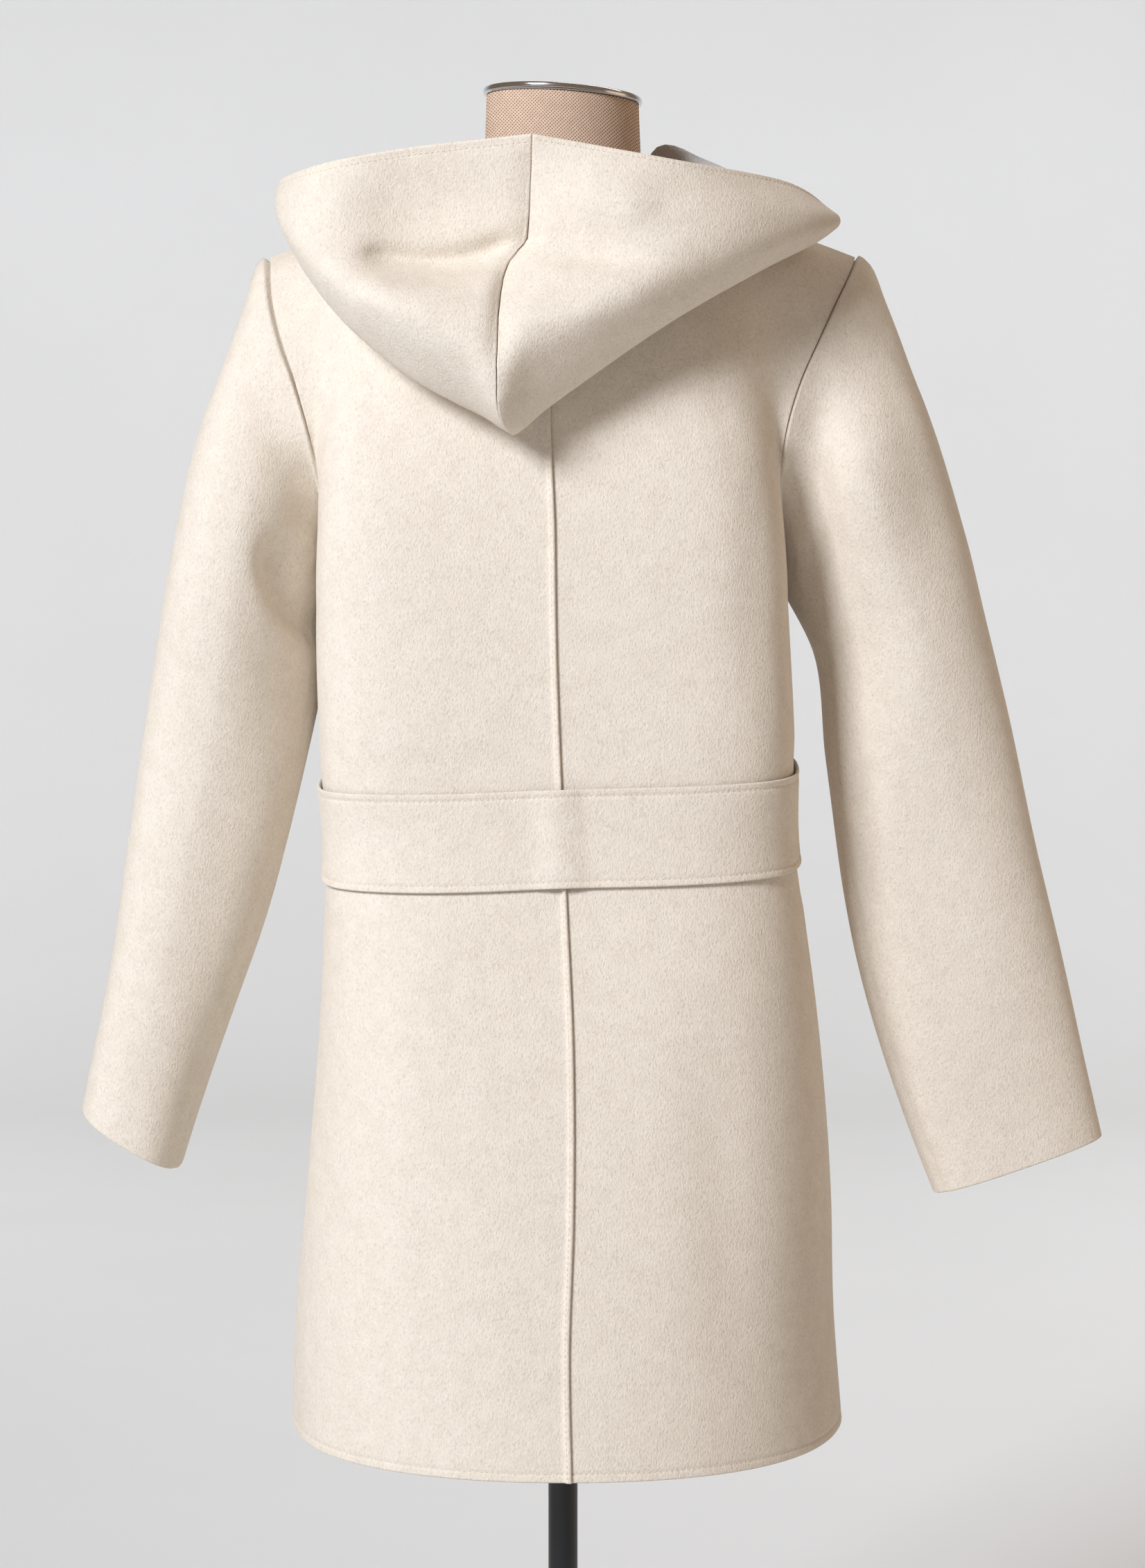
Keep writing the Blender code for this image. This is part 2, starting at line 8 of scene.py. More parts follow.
import bpy
import numpy as np
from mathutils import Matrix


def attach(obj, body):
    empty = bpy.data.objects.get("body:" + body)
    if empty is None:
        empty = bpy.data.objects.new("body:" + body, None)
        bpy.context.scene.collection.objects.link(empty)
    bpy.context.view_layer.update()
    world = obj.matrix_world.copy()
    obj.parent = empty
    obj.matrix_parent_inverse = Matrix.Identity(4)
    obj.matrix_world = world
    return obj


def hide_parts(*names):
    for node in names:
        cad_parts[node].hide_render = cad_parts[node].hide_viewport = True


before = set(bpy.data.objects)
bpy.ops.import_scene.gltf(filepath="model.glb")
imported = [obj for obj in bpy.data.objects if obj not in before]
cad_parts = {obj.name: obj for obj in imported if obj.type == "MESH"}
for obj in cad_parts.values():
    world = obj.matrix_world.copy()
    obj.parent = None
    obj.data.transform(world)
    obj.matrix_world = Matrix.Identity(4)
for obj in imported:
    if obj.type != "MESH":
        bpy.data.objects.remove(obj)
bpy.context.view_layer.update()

# Cloth and its seams
CLOTH = 0.0025  # thickness of the felted double cloth
SEAM_GAP = 0.0003
TUCK = 0.0045  # the sleeve runs under the edge of the armhole by this much
TUCK_GAP = 0.0008
BELT_GAP = 0.0004
HOOD_GAP = 0.0005  # between the two halves of the hood at their seam
NECK_GAP = 0.0013  # the hood's lower edge stands this clear of the neckline
SEWN_ROUND = 0.0012  # radius of the rolled lip along a sewn edge
CUT_ROUND = CLOTH / 2  # radius of a raw cut edge
THINNEST = CLOTH * 0.08  # what is left of the thickness at a rounded edge
SEAM_CALM = 0.05  # creases fade out within this distance of a panel's seams
STITCH_IN_HOOD = 0.0042  # distance of a row of stitching from the edge it holds
STITCH_IN_BELT = 0.0050
STITCH_IN_HEM = 0.0062
STITCH_IN_LAP = {"back": 0.0031, "front": 0.0046}
STITCH_PITCH = 0.0040
STITCH_LENGTH = 0.0029
STITCH_RADIUS = 0.00034
STITCH_SIDES = 6
GROOVE_DEPTH = 0.0006  # stitching pulls the cloth in by this much
GROOVE_WIDTH = 0.0011

# Heights of the coat
HEM = 0.523
HEM_SIDE_RISE = 0.004
BELT_LOW = 0.926
BELT_HIGH = 0.995
YOKE = 1.100
UNDERARM = 1.180

# Distances in from an edge at which a grid has its closest lines
EDGE_STEPS = np.array([0.0, 0.00015, 0.0004, 0.0008, 0.0013, 0.0021, 0.0034, 0.0052])
HEM_STEPS = np.concatenate([EDGE_STEPS[:-1], [0.0045, 0.0054, 0.0062, 0.0070, 0.0080, 0.0095]])
LAP_STEPS = np.concatenate([
    EDGE_STEPS[:5], [0.0018, 0.0023, 0.0028, 0.0033, 0.0039, 0.0046, 0.0055, 0.0068, 0.0085],
])
BELT_STEPS = np.concatenate([EDGE_STEPS[:-2], [0.0029, 0.0036, 0.0043, 0.0050, 0.0057, 0.0064, 0.0075]])
ARMHOLE_STEPS = np.concatenate([
    EDGE_STEPS[:5],
    [0.0026, 0.0038, 0.0046, 0.0050, 0.0054, 0.0058, 0.0062, 0.0067, 0.0073, 0.0082, 0.0095],
])

# Rows and columns of the cloth grids
SKIRT_ROWS = 84
BELT_ROWS = 14
BELT_MIDDLE_ROWS = 20  # rows of the belt between those close to its edges
BELT_MIDDLE_COLUMNS = 34  # columns of the belt across the lap
WAIST_ROWS = 26
UPPER_ROWS = 64
HOOD_ROWS = 110
SLEEVE_ROWS = 130
SLEEVE_CROWDING = 1.3
SPLIT = 5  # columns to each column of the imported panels
PANEL_COLUMNS = 9 * SPLIT + 1
STRIP_DEGREES = 0.22  # width of a column in the strip where two panels lap
FRONT_STRIP_DEGREES = 0.9

# Columns of each panel, as degrees from its centre line to the side seam
SIDE_SEAM = 90.0
LAP_FOOT = 4.0  # the evenly spaced columns start here, beside the strip where two panels lap
COLUMN_DEGREES = np.linspace(LAP_FOOT, SIDE_SEAM, PANEL_COLUMNS)
NECK_COLUMN = 4 * SPLIT
BACK_LAP = 1.0  # the left back reaches this far past the centre line
FRONT_LAP = COLUMN_DEGREES[SPLIT]  # and the right front this far
LAP_SHORT = 0.004  # a lapping panel stops this far short of the neckline at its centre
LAP_CLEAR = 0.35  # the panel under a lap starts this far beyond the centre line
LAP_GAP = {"back": SEAM_GAP, "front": SEAM_GAP + GROOVE_DEPTH}  # between a lap and the panel under it
# Degrees up to which a lapping panel is at its full height, from which it is down on the other panel's level,
# and at which the row of stitching presses it in. The front's columns are broader, so it takes longer.
LAP_SHAPE = {"back": (-0.20, 0.55, 0.05), "front": (0.90, 2.80, -12.1)}
LAP_GROOVE = 0.3  # width in degrees of that pressed row
BELT_END_COLUMN = 7 * SPLIT  # the belt ends at this column of the fronts
EDGE_REACH = 4.0  # power of the share across with which a column follows the armhole
YOKE_DIP = 3.0  # power of the share across with which the yoke line rises to the underarm


def table(names, rows):
    """Columns of a table by name."""
    return dict(zip(names, np.array(rows, float).T))


# Sections of the coat below the yoke
BODY = table(
    ("height", "half_width", "back", "front", "centre", "back_squareness", "front_squareness"),
    (
        (0.523, 0.2035, 0.170, 0.165, 0.0030, 2.20, 1.95),
        (0.610, 0.1980, 0.163, 0.160, 0.0015, 2.40, 2.05),
        (0.703, 0.1918, 0.154, 0.153, 0.0045, 2.70, 2.15),
        (0.827, 0.1810, 0.140, 0.146, 0.0043, 3.20, 2.30),
        (0.915, 0.1730, 0.127, 0.138, 0.0005, 3.70, 2.40),
        (0.960, 0.1695, 0.122, 0.135, -0.0015, 3.90, 2.40),
        (1.011, 0.1708, 0.121, 0.134, -0.0038, 4.70, 2.40),
        (1.103, 0.1696, 0.119, 0.135, -0.0070, 5.30, 2.40),
        (1.180, 0.1660, 0.117, 0.132, -0.0080, 5.50, 2.40),
    ),
)
UPPER_CENTRE = table(
    ("height", "centre"),
    ((1.180, -0.0080), (1.285, -0.0105), (1.340, -0.0060), (1.378, 0.0), (1.430, -0.0040)),
)
ARMHOLE = table(
    ("share", "half_width", "back", "front", "height"),
    (
        (0.00, 0.1660, 0.000, 0.000, 1.180),
        (0.12, 0.1650, 0.026, 0.024, 1.192),
        (0.27, 0.1648, 0.049, 0.044, 1.217),
        (0.45, 0.1695, 0.062, 0.054, 1.251),
        (0.60, 0.1795, 0.061, 0.053, 1.286),
        (0.75, 0.1925, 0.053, 0.045, 1.320),
        (0.87, 0.2030, 0.039, 0.032, 1.350),
        (0.95, 0.2090, 0.021, 0.017, 1.369),
        (1.00, 0.2120, 0.000, 0.000, 1.378),
    ),
)

# Neckline and shoulder seam
NECK_HALF_WIDTH = 0.078
NECK_SIDE_HEIGHT = 1.428
SHOULDER_HALF_WIDTH = 0.212
SHOULDER_HEIGHT = 1.378
NECK_BACK = np.array([0.068, 1.415])  # depth and height of the neckline at the centre back
NECK_FRONT = np.array([0.108, 1.345])
# How strongly, and which way, the cloth leaves the yoke line and arrives at its upper edges
FOOT_PULL = np.array([0.0, 0.0, 0.40])
SEAM_PULL = np.array([0.0, 0.30, 0.03])
BACK_NECK_PULL = np.array([0.0, 0.10, 0.12])
FRONT_NECK_PULL = np.array([0.0, 0.05, 0.15])

# Sections of each sleeve below the armhole
# The last column is how far the inner edge lies forward of the section's middle, hidden behind the body.
SLEEVE_COLUMNS = ("in_x", "in_z", "out_x", "out_z", "middle_y", "half_depth", "back_drop", "inner_forward")
SLEEVE_RIGHT = table(
    SLEEVE_COLUMNS,
    (
        (0.1590, 1.1630, 0.2560, 1.2840, -0.012, 0.062, 0.010, 0.030),
        (0.1600, 1.1440, 0.2894, 1.1832, -0.010, 0.056, 0.006, 0.036),
        (0.1860, 1.0908, 0.3076, 1.1176, -0.005, 0.052, 0.004, 0.024),
        (0.1934, 1.0112, 0.3291, 1.0366, 0.000, 0.045, 0.004, 0.012),
        (0.2087, 0.9092, 0.3519, 0.9348, 0.004, 0.039, 0.005, 0.006),
        (0.2322, 0.8066, 0.3759, 0.8349, 0.008, 0.035, 0.002, 0.003),
        (0.2765, 0.6910, 0.3985, 0.7334, 0.012, 0.030, -0.001, 0.000),
    ),
)
SLEEVE_LEFT = table(
    SLEEVE_COLUMNS,
    (
        (0.1725, 1.1600, 0.2520, 1.2800, -0.010, 0.062, 0.010, 0.026),
        (0.1735, 1.1277, 0.2829, 1.1631, -0.006, 0.062, 0.008, 0.026),
        (0.1800, 1.0569, 0.2988, 1.0848, 0.002, 0.056, 0.008, 0.028),
        (0.1890, 1.0112, 0.3057, 1.0442, 0.006, 0.054, 0.009, 0.020),
        (0.2138, 0.9194, 0.3208, 0.9501, 0.014, 0.055, 0.008, 0.016),
        (0.2455, 0.8272, 0.3365, 0.8605, 0.022, 0.055, 0.006, 0.008),
        (0.2837, 0.7086, 0.3564, 0.7540, 0.030, 0.052, 0.002, 0.000),
    ),
)
SLEEVE_SQUARENESS = 2.5
INNER_FROM = 0.2  # the inner edge starts to lie forward here, in half-widths out from the section's middle
INNER_REACH = 1.2  # and does so fully after this many half-widths

# Seams of the sleeve
SLEEVE_CALM = 0.04  # creases fade out within this distance of the armhole
BEHIND_FADE = 2.5  # how quickly a crease fades out round the sleeve, from its back or front to its edges
SLEEVE_PUFF = 0.0052  # the sleeve stands up again beyond the armhole seam
PUFF_FROM = 0.0047  # where it starts to rise, from the hidden edge of the sleeve
PUFF_RISE = 0.0016
PUFF_FULL = 0.0095  # from where it settles again
PUFF_SETTLE = 0.022
SOFT_SEAM_HEIGHT = 1.265  # above this the left armhole seam opens into a shallow step
SOFT_SEAM_FADE = 0.05
SOFT_FROM = 0.0008  # by how much later that step starts
SOFT_RISE = 0.0014  # and by how much longer it is
SLEEVE_SEAM_ANGLE = np.radians(150)  # the sleeve's long seam runs behind its inner edge
SLEEVE_SEAM_WIDTH = 0.07  # in radians round the sleeve
SLEEVE_SEAM_DEPTH = 0.0012
SLEEVE_SEAM_FADE = 0.05

# Sections of the hood from the neckline out
HOOD_COLUMNS = (
    "share", "fold_x", "fold_y", "fold_z", "swell_x", "swell_y", "shelf", "edge_x", "edge_y", "edge_z",
)
HOOD_RIGHT = table(
    HOOD_COLUMNS,
    (
        (0.00, 0.012, 0.112, 1.356, 0.000, 0.001, 0.80, 0.010, 0.114, 1.363),
        (0.20, 0.058, 0.088, 1.398, 0.003, 0.002, 0.80, 0.050, 0.096, 1.418),
        (0.33, 0.080, 0.050, 1.436, 0.004, 0.000, 0.80, 0.071, 0.056, 1.4645),
        (0.44, 0.104, 0.026, 1.438, 0.005, -0.002, 0.80, 0.102, 0.046, 1.4525),
        (0.55, 0.146, 0.002, 1.414, 0.006, -0.004, 0.80, 0.154, 0.026, 1.427),
        (0.67, 0.178, -0.044, 1.388, 0.014, -0.014, 0.95, 0.186, -0.024, 1.4125),
        (0.78, 0.134, -0.104, 1.357, 0.014, -0.018, 1.00, 0.155, -0.096, 1.4215),
        (0.89, 0.067, -0.140, 1.316, 0.003, -0.022, 0.80, 0.0797, -0.150, 1.4291),
        (1.00, -0.034, -0.144, 1.247, -0.015, -0.038, -0.10, -0.0203, -0.150, 1.4467),
    ),
)
HOOD_LEFT = table(
    HOOD_COLUMNS,
    (
        (0.00, 0.012, 0.112, 1.356, 0.000, 0.001, 0.80, 0.010, 0.114, 1.363),
        (0.20, 0.058, 0.088, 1.398, 0.003, 0.002, 0.80, 0.050, 0.096, 1.418),
        (0.33, 0.080, 0.050, 1.434, 0.004, 0.000, 0.80, 0.070, 0.058, 1.458),
        (0.44, 0.106, 0.026, 1.442, 0.005, -0.002, 0.80, 0.106, 0.044, 1.458),
        (0.55, 0.152, 0.002, 1.424, 0.006, -0.004, 0.80, 0.158, 0.024, 1.446),
        (0.67, 0.1877, -0.058, 1.3924, 0.008, -0.008, 0.90, 0.200, -0.052, 1.4270),
        (0.78, 0.162, -0.108, 1.3365, 0.010, -0.018, 0.50, 0.1663, -0.122, 1.4299),
        (0.89, 0.108, -0.130, 1.286, 0.008, -0.034, -0.20, 0.1056, -0.138, 1.4386),
        (1.00, 0.034, -0.144, 1.247, 0.015, -0.038, -0.10, 0.0203, -0.150, 1.4467),
    ),
)
ROLL_OUT = 0.005
ROLL_UP = 0.012
HOOD_KNOTS = np.array([0.0, 0.1, 0.34, 0.58, 0.71, 0.86, 1.0])
LOBE_AT = 0.26  # where the outer layer swells most, as a share of the way from the fold to the face edge
SHELF_AT = 0.61  # where the swell has come down to the table's shelf share of itself
HOOD_FOLD = 0.58  # share of the rows at which the outer layer begins
HOOD_FADE = 0.10
THROAT = 0.20  # share of the neckline, from the centre front, where the hood is only a short standing band
CREASE_BEHIND = np.array([-0.06, -0.02])  # Y at which the hood's creases are at their full depth, and gone
HOOD_CREASE_FADE = 0.012  # they fade out within this distance of the face edge
HOOD_CALM = 0.03  # and the slack does within this distance of the face edge and the centre seam

# Where the centre seam of the hood runs on its outer layer: it steps aside at the fold across the hood.
HOOD_SEAM = table(
    ("height", "x"),
    (
        (1.2400, -0.0322), (1.2543, -0.0363), (1.2684, -0.0391), (1.2895, -0.0433), (1.3082, -0.0433),
        (1.3245, -0.0428), (1.3409, -0.0414), (1.3525, -0.0395), (1.3619, -0.0366), (1.3698, -0.0300),
        (1.3758, -0.0240), (1.3921, -0.0225), (1.4200, -0.0211), (1.4525, -0.0200),
    ),
)
SEAM_DRIFT_REACH = 0.045  # the cloth beside the seam follows it aside within this distance
SEAM_PRESS = 0.0030  # the hood's centre seam lies this deep
SEAM_PRESS_WIDTH = 0.0075
SEAM_PRESS_FADE = 0.02
SEAM_GAP_FADE = 0.01  # the halves are set apart at the seam, and less so up to this distance from it
LIP_OUT = 0.0050  # the left half stands out beside the seam below the fold
LIP_IN = 0.008  # at this distance from the seam
LIP_WIDTH = 0.007
LIP_HEIGHT = 1.345
LIP_REACH = 0.032
TIP_DROP = 0.018  # the hood comes to a point at its lowest
TIP_WIDTH = 0.013
TIP_REACH = 0.09  # share of the rows on each side of the fold that the point takes up

# Soft creases, each along a line of X and Z. A depth over 0 presses in, and a depth under 0 stands out.
# The widths are those on the two sides of the line, and the taper is the share of it that fades at each end.
CREASE_STEPS = 48  # points along such a line
HOOD_CREASES = (
    dict(line=((-0.140, 1.3710), (-0.127, 1.3665), (-0.104, 1.3630), (-0.080, 1.3625), (-0.057, 1.3665),
               (-0.036, 1.3735), (-0.010, 1.3765)),
         depth=0.0130, widths=(0.0085, 0.0120), taper=0.24),
    dict(line=((-0.146, 1.3520), (-0.127, 1.3430), (-0.104, 1.3390), (-0.080, 1.3400), (-0.058, 1.3460),
               (-0.036, 1.3560)),
         depth=-0.0050, widths=(0.012, 0.024), taper=0.26),
    dict(line=((-0.040, 1.3745), (-0.005, 1.3680), (0.018, 1.3635), (0.044, 1.3605), (0.080, 1.360)),
         depth=0.0090, widths=(0.016, 0.0100), taper=0.40),
    dict(line=((-0.012, 1.410), (0.018, 1.405), (0.047, 1.398), (0.072, 1.388)),
         depth=-0.0070, widths=(0.022, 0.014), taper=0.40),
    dict(line=((0.000, 1.335), (0.020, 1.322), (0.050, 1.332), (0.080, 1.350)),
         depth=-0.0035, widths=(0.020, 0.016), taper=0.35),
    dict(line=((-0.062, 1.2745), (-0.048, 1.2685), (-0.037, 1.2645)),
         depth=0.0060, widths=(0.006, 0.005), taper=0.35),
)
SLEEVE_LEFT_CREASES = (
    dict(line=((-0.200, 1.180), (-0.205, 1.164), (-0.2045, 1.148), (-0.197, 1.128), (-0.183, 1.106),
               (-0.169, 1.088)),
         depth=0.0135, widths=(0.020, 0.0095), taper=0.34),
    dict(line=((-0.206, 1.158), (-0.196, 1.172), (-0.182, 1.186), (-0.166, 1.194)),
         depth=0.0040, widths=(0.016, 0.016), taper=0.40),
    dict(line=((-0.232, 1.330), (-0.246, 1.240), (-0.262, 1.150), (-0.272, 1.060), (-0.284, 0.960)),
         depth=-0.0025, widths=(0.024, 0.024), taper=0.40),
    dict(line=((-0.228, 1.050), (-0.243, 0.980), (-0.262, 0.900), (-0.282, 0.810)),
         depth=0.0025, widths=(0.020, 0.022), taper=0.40),
)
SLEEVE_RIGHT_CREASES = (
    dict(line=((0.170, 1.300), (0.1735, 1.270), (0.177, 1.232), (0.179, 1.190), (0.182, 1.147),
               (0.188, 1.090)),
         depth=0.0085, widths=(0.013, 0.022), taper=0.30),
    dict(line=((0.190, 1.330), (0.205, 1.260), (0.212, 1.190), (0.214, 1.110), (0.218, 1.030)),
         depth=-0.0020, widths=(0.016, 0.016), taper=0.40),
    dict(line=((0.2139, 1.3425), (0.2360, 1.2907), (0.2520, 1.2367), (0.2640, 1.1737), (0.2740, 1.090)),
         depth=0.0045, widths=(0.022, 0.020), taper=0.40),
    dict(line=((0.250, 0.990), (0.262, 0.930), (0.280, 0.860), (0.300, 0.790)),
         depth=0.0022, widths=(0.024, 0.024), taper=0.40),
)
# Creases of the unseen front of a sleeve, drawn for the right one
SLEEVE_FRONT_CREASES = (
    dict(line=((0.195, 1.070), (0.232, 1.046), (0.275, 1.052), (0.305, 1.066)),
         depth=0.0045, widths=(0.014, 0.010), taper=0.40),
    dict(line=((0.205, 0.965), (0.245, 0.942), (0.290, 0.950)),
         depth=0.0035, widths=(0.014, 0.012), taper=0.40),
)
BACK_CREASES = (
    dict(line=((-0.150, 1.330), (-0.140, 1.290), (-0.118, 1.245), (-0.088, 1.205)),
         depth=0.0030, widths=(0.018, 0.018), taper=0.40),
    dict(line=((0.150, 1.250), (0.140, 1.190), (0.138, 1.110), (0.142, 1.030)),
         depth=0.0030, widths=(0.020, 0.020), taper=0.40),
    dict(line=((-0.105, 0.915), (-0.110, 0.800), (-0.118, 0.690), (-0.122, 0.560)),
         depth=-0.0025, widths=(0.024, 0.028), taper=0.40),
    dict(line=((0.100, 0.900), (0.106, 0.780), (0.116, 0.660), (0.124, 0.540)),
         depth=0.0030, widths=(0.024, 0.024), taper=0.40),
)
FRONT_CREASES = (
    dict(line=((0.120, 1.330), (0.112, 1.280), (0.100, 1.220), (0.090, 1.150)),
         depth=0.0030, widths=(0.018, 0.018), taper=0.40),
    dict(line=((-0.122, 1.325), (-0.116, 1.270), (-0.100, 1.210), (-0.092, 1.140)),
         depth=0.0035, widths=(0.016, 0.020), taper=0.40),
    dict(line=((0.086, 0.930), (0.094, 0.820), (0.100, 0.700), (0.108, 0.560)),
         depth=0.0030, widths=(0.022, 0.026), taper=0.40),
    dict(line=((-0.080, 0.940), (-0.090, 0.830), (-0.092, 0.700), (-0.104, 0.550)),
         depth=-0.0030, widths=(0.024, 0.022), taper=0.40),
)

# Gentle unevenness of each hanging piece: the seed, the length of its waves and their depth
SLACK = {
    "back": (3, 0.17, 0.0011),
    "front": (5, 0.17, 0.0011),
    "sleeve_left": (10, 0.15, 0.0012),
    "sleeve_right": (12, 0.15, 0.0012),
    "hood": (21, 0.11, 0.0010),
}
SLACK_WAVES = 6
SLACK_LIE = np.array([1.0, 1.0, 0.55])  # the waves vary more across the cloth than down it
SLACK_PITCHES = (0.7, 1.4)
SLACK_PHASES = (0.0, 6.3)
SLACK_PEAK = 2.5  # about the greatest height of so many waves together

# Belt
BELT_COVER = np.array([0.905, 0.925, 1.014, 1.034])  # the panels lie flat between the two middle heights
BELT_SEAT = 0.0008  # and are pressed in there by this much
BELT_OVER_FROM = 7.0  # degrees from the centre at which the belt starts to rise over the lap
BELT_OVER_RISE = 5.5  # and over which it does so
BELT_RIDGE = 0.0005  # the lap under the belt shows through it by this much
BELT_RIDGE_DEGREE = -0.2
BELT_RIDGE_WIDTH = 1.1
BELT_FLARE = 0.0003  # the belt's edges stand out beyond its stitching by this much
BELT_FLARE_WIDTH = 0.003
# How far the belt climbs round the body, by degrees from the centre back to the wearer's right
BELT_CLIMB = table(
    ("degree", "rise"),
    (
        (-115.0, 0.0050), (-80.0, 0.0050), (-55.0, 0.0015), (-30.0, 0.0010), (0.0, 0.0045), (28.0, 0.0067),
        (50.0, 0.0105), (80.0, 0.0180), (115.0, 0.0180),
    ),
)

# Dress form: sections of the torso and neck
TORSO = table(
    ("height", "half_width", "back", "front", "squareness"),
    (
        (0.700, 0.146, 0.100, 0.102, 2.3),
        (0.712, 0.158, 0.112, 0.114, 2.3),
        (0.800, 0.163, 0.118, 0.120, 2.3),
        (0.880, 0.154, 0.108, 0.112, 2.3),
        (0.970, 0.124, 0.086, 0.094, 2.2),
        (1.060, 0.134, 0.090, 0.104, 2.2),
        (1.150, 0.144, 0.098, 0.122, 2.2),
        (1.220, 0.146, 0.098, 0.116, 2.2),
        (1.290, 0.148, 0.088, 0.096, 2.1),
        (1.335, 0.156, 0.074, 0.072, 1.9),
        (1.362, 0.163, 0.062, 0.056, 1.6),
        (1.380, 0.164, 0.052, 0.046, 1.4),
        (1.392, 0.155, 0.049, 0.043, 1.25),
        (1.404, 0.1265, 0.049, 0.042, 1.2),
        (1.412, 0.094, 0.050, 0.044, 1.25),
        (1.420, 0.070, 0.051, 0.048, 1.5),
        (1.430, 0.0605, 0.0535, 0.0530, 1.9),
        (1.446, 0.0565, 0.0555, 0.0555, 2.0),
        (1.4895, 0.0550, 0.0550, 0.0550, 2.0),
    ),
)
TORSO_STEP = 0.006  # height of a row of the torso
CAP_TILT = -0.066  # slope of the cap from left to right
TILT_BELOW = 0.035  # the neck starts to tilt this far below its top
TILT_REACH = 0.03  # and is fully tilted this far above there
CAP_RADIUS = 0.0575
CAP_THICKNESS = 0.005
CAP_ROUND = 0.002
POLE_RADIUS = 0.0109
BASE_RADIUS = 0.160
BASE_THICKNESS = 0.012
BASE_ROUND = 0.004
TURNED_SIDES = 128
ROUND_STEPS = 8
SHARP_EDGE = np.radians(40)  # edges of the form and its stand that turn more than this are shaded sharp

# Studio
PAPER_HALF_WIDTH = 7.0
PAPER_START = -7.0
PAPER_WALL = 6.6
PAPER_TOP = 5.0
PAPER_BEND = 2.2
PAPER_STEPS = 24
# Each light's place, the point it is aimed at, its size, watts and colour
LIGHTS = {
    "key": ((-3.23, -4.14, 3.96), (0.0, 0.0, 1.05), 1.8, 390.0, "#F2F7FF"),
    "fill": ((2.7, -0.3, 1.0), (0.0, 0.0, 0.9), 1.8, 8.0, "#FFDDB8"),
    "paper_left": ((-3.2, 3.0, 2.0), (-0.6, 6.4, 1.2), 2.0, 50.0, "#FEFEFF"),
    "paper_right": ((3.2, 3.0, 2.0), (0.6, 6.4, 1.2), 2.0, 50.0, "#FEFEFF"),
    "floor_light": ((1.0, 1.0, 3.4), (1.0, 4.2, 1.0), 2.0, 62.0, "#FFFDFD"),
}
ROOM_COLOUR = "#F8DABA"
ROOM_STRENGTH = 0.22
CAMERA_PLACE = (0.00709, -2.35, 1.1555)
CAMERA_DOWN = 3.903  # degrees below level
CAMERA_LENS = 73.8  # millimetres
CAMERA_SENSOR = 36.0


def smooth(knots, values, at):
    """Values at the given places on a curve that passes smoothly through every knot."""
    values = np.asarray(values, float)
    at = np.asarray(at, float)
    slopes = np.gradient(values, knots, axis=0)
    low = np.clip(np.searchsorted(knots, at) - 1, 0, len(knots) - 2)
    span = knots[low + 1] - knots[low]
    share = (at - knots[low]) / span
    extra = (1,) * (values.ndim - 1)
    span = span.reshape(span.shape + extra)
    share = share.reshape(share.shape + extra)
    return hermite(values[low], slopes[low] * span, values[low + 1], slopes[low + 1] * span, share)


def hermite(start, start_pull, end, end_pull, share):
    """A point on the cubic from start to end that leaves and arrives along the two pulls."""
    square = share * share
    cube = square * share
    return (
        start * (2 * cube - 3 * square + 1)
        + start_pull * (cube - 2 * square + share)
        + end * (3 * square - 2 * cube)
        + end_pull * (cube - square)
    )


def eased(value):
    """0 below 0, 1 above 1, with a soft start and end between."""
    share = np.clip(value, 0.0, 1.0)
    return share * share * (3 - 2 * share)


def bell(distance, width):
    """1 at no distance, and falling softly to nothing over about two widths."""
    return np.exp(-((distance / width) ** 2))


def unit(vectors):
    """The vectors brought to a length of 1."""
    return vectors / np.linalg.norm(vectors, axis=-1, keepdims=True)


def rounded(half_width, depth, angle, squareness):
    """X and depth of a squared ellipse at an angle from its centre line."""
    across = np.sin(angle)
    along = np.cos(angle)
    size = (np.abs(across) ** squareness + np.abs(along) ** squareness) ** (-1 / squareness)
    return half_width * across * size, depth * along * size


def facing(face):
    """The side of the shoulder line that a panel lies on."""
    return 1.0 if face == "front" else -1.0


def body_point(face, height, angle):
    """A point of the coat below the yoke, with X measured from the coat's own centre line."""
    at = {name: smooth(BODY["height"], column, height) for name, column in BODY.items()}
    x, depth = rounded(at["half_width"], at[face], angle, at[face + "_squareness"])
    return np.stack([x, depth * facing(face), height], axis=-1)


def top_edge(face, across):
    """A point of the neckline or shoulder seam by the share across from the centre, and the pull there."""
    neck_share = COLUMN_DEGREES[NECK_COLUMN] / SIDE_SEAM
    depth, height = NECK_FRONT if face == "front" else NECK_BACK
    neck_pull = FRONT_NECK_PULL if face == "front" else BACK_NECK_PULL
    if across <= neck_share:
        turn = across / neck_share * np.pi / 2
        rise = 1 - np.cos(turn)
        point = np.array([
            NECK_HALF_WIDTH * np.sin(turn),
            facing(face) * depth * np.cos(turn),
            height + (NECK_SIDE_HEIGHT - height) * rise,
        ])
        pull = neck_pull + (SEAM_PULL - neck_pull) * rise
    else:
        share = (across - neck_share) / (1 - neck_share)
        point = np.array([
            NECK_HALF_WIDTH + (SHOULDER_HALF_WIDTH - NECK_HALF_WIDTH) * share,
            0.0,
            NECK_SIDE_HEIGHT + (SHOULDER_HEIGHT - NECK_SIDE_HEIGHT) * share,
        ])
        pull = SEAM_PULL
    return point, pull * np.array([1.0, -facing(face), 1.0])


def armhole_point(face, share):
    """A point of the armhole by the share from underarm to shoulder."""
    columns = np.stack([ARMHOLE["half_width"], ARMHOLE[face] * facing(face), ARMHOLE["height"]], axis=-1)
    return smooth(ARMHOLE["share"], columns, share)


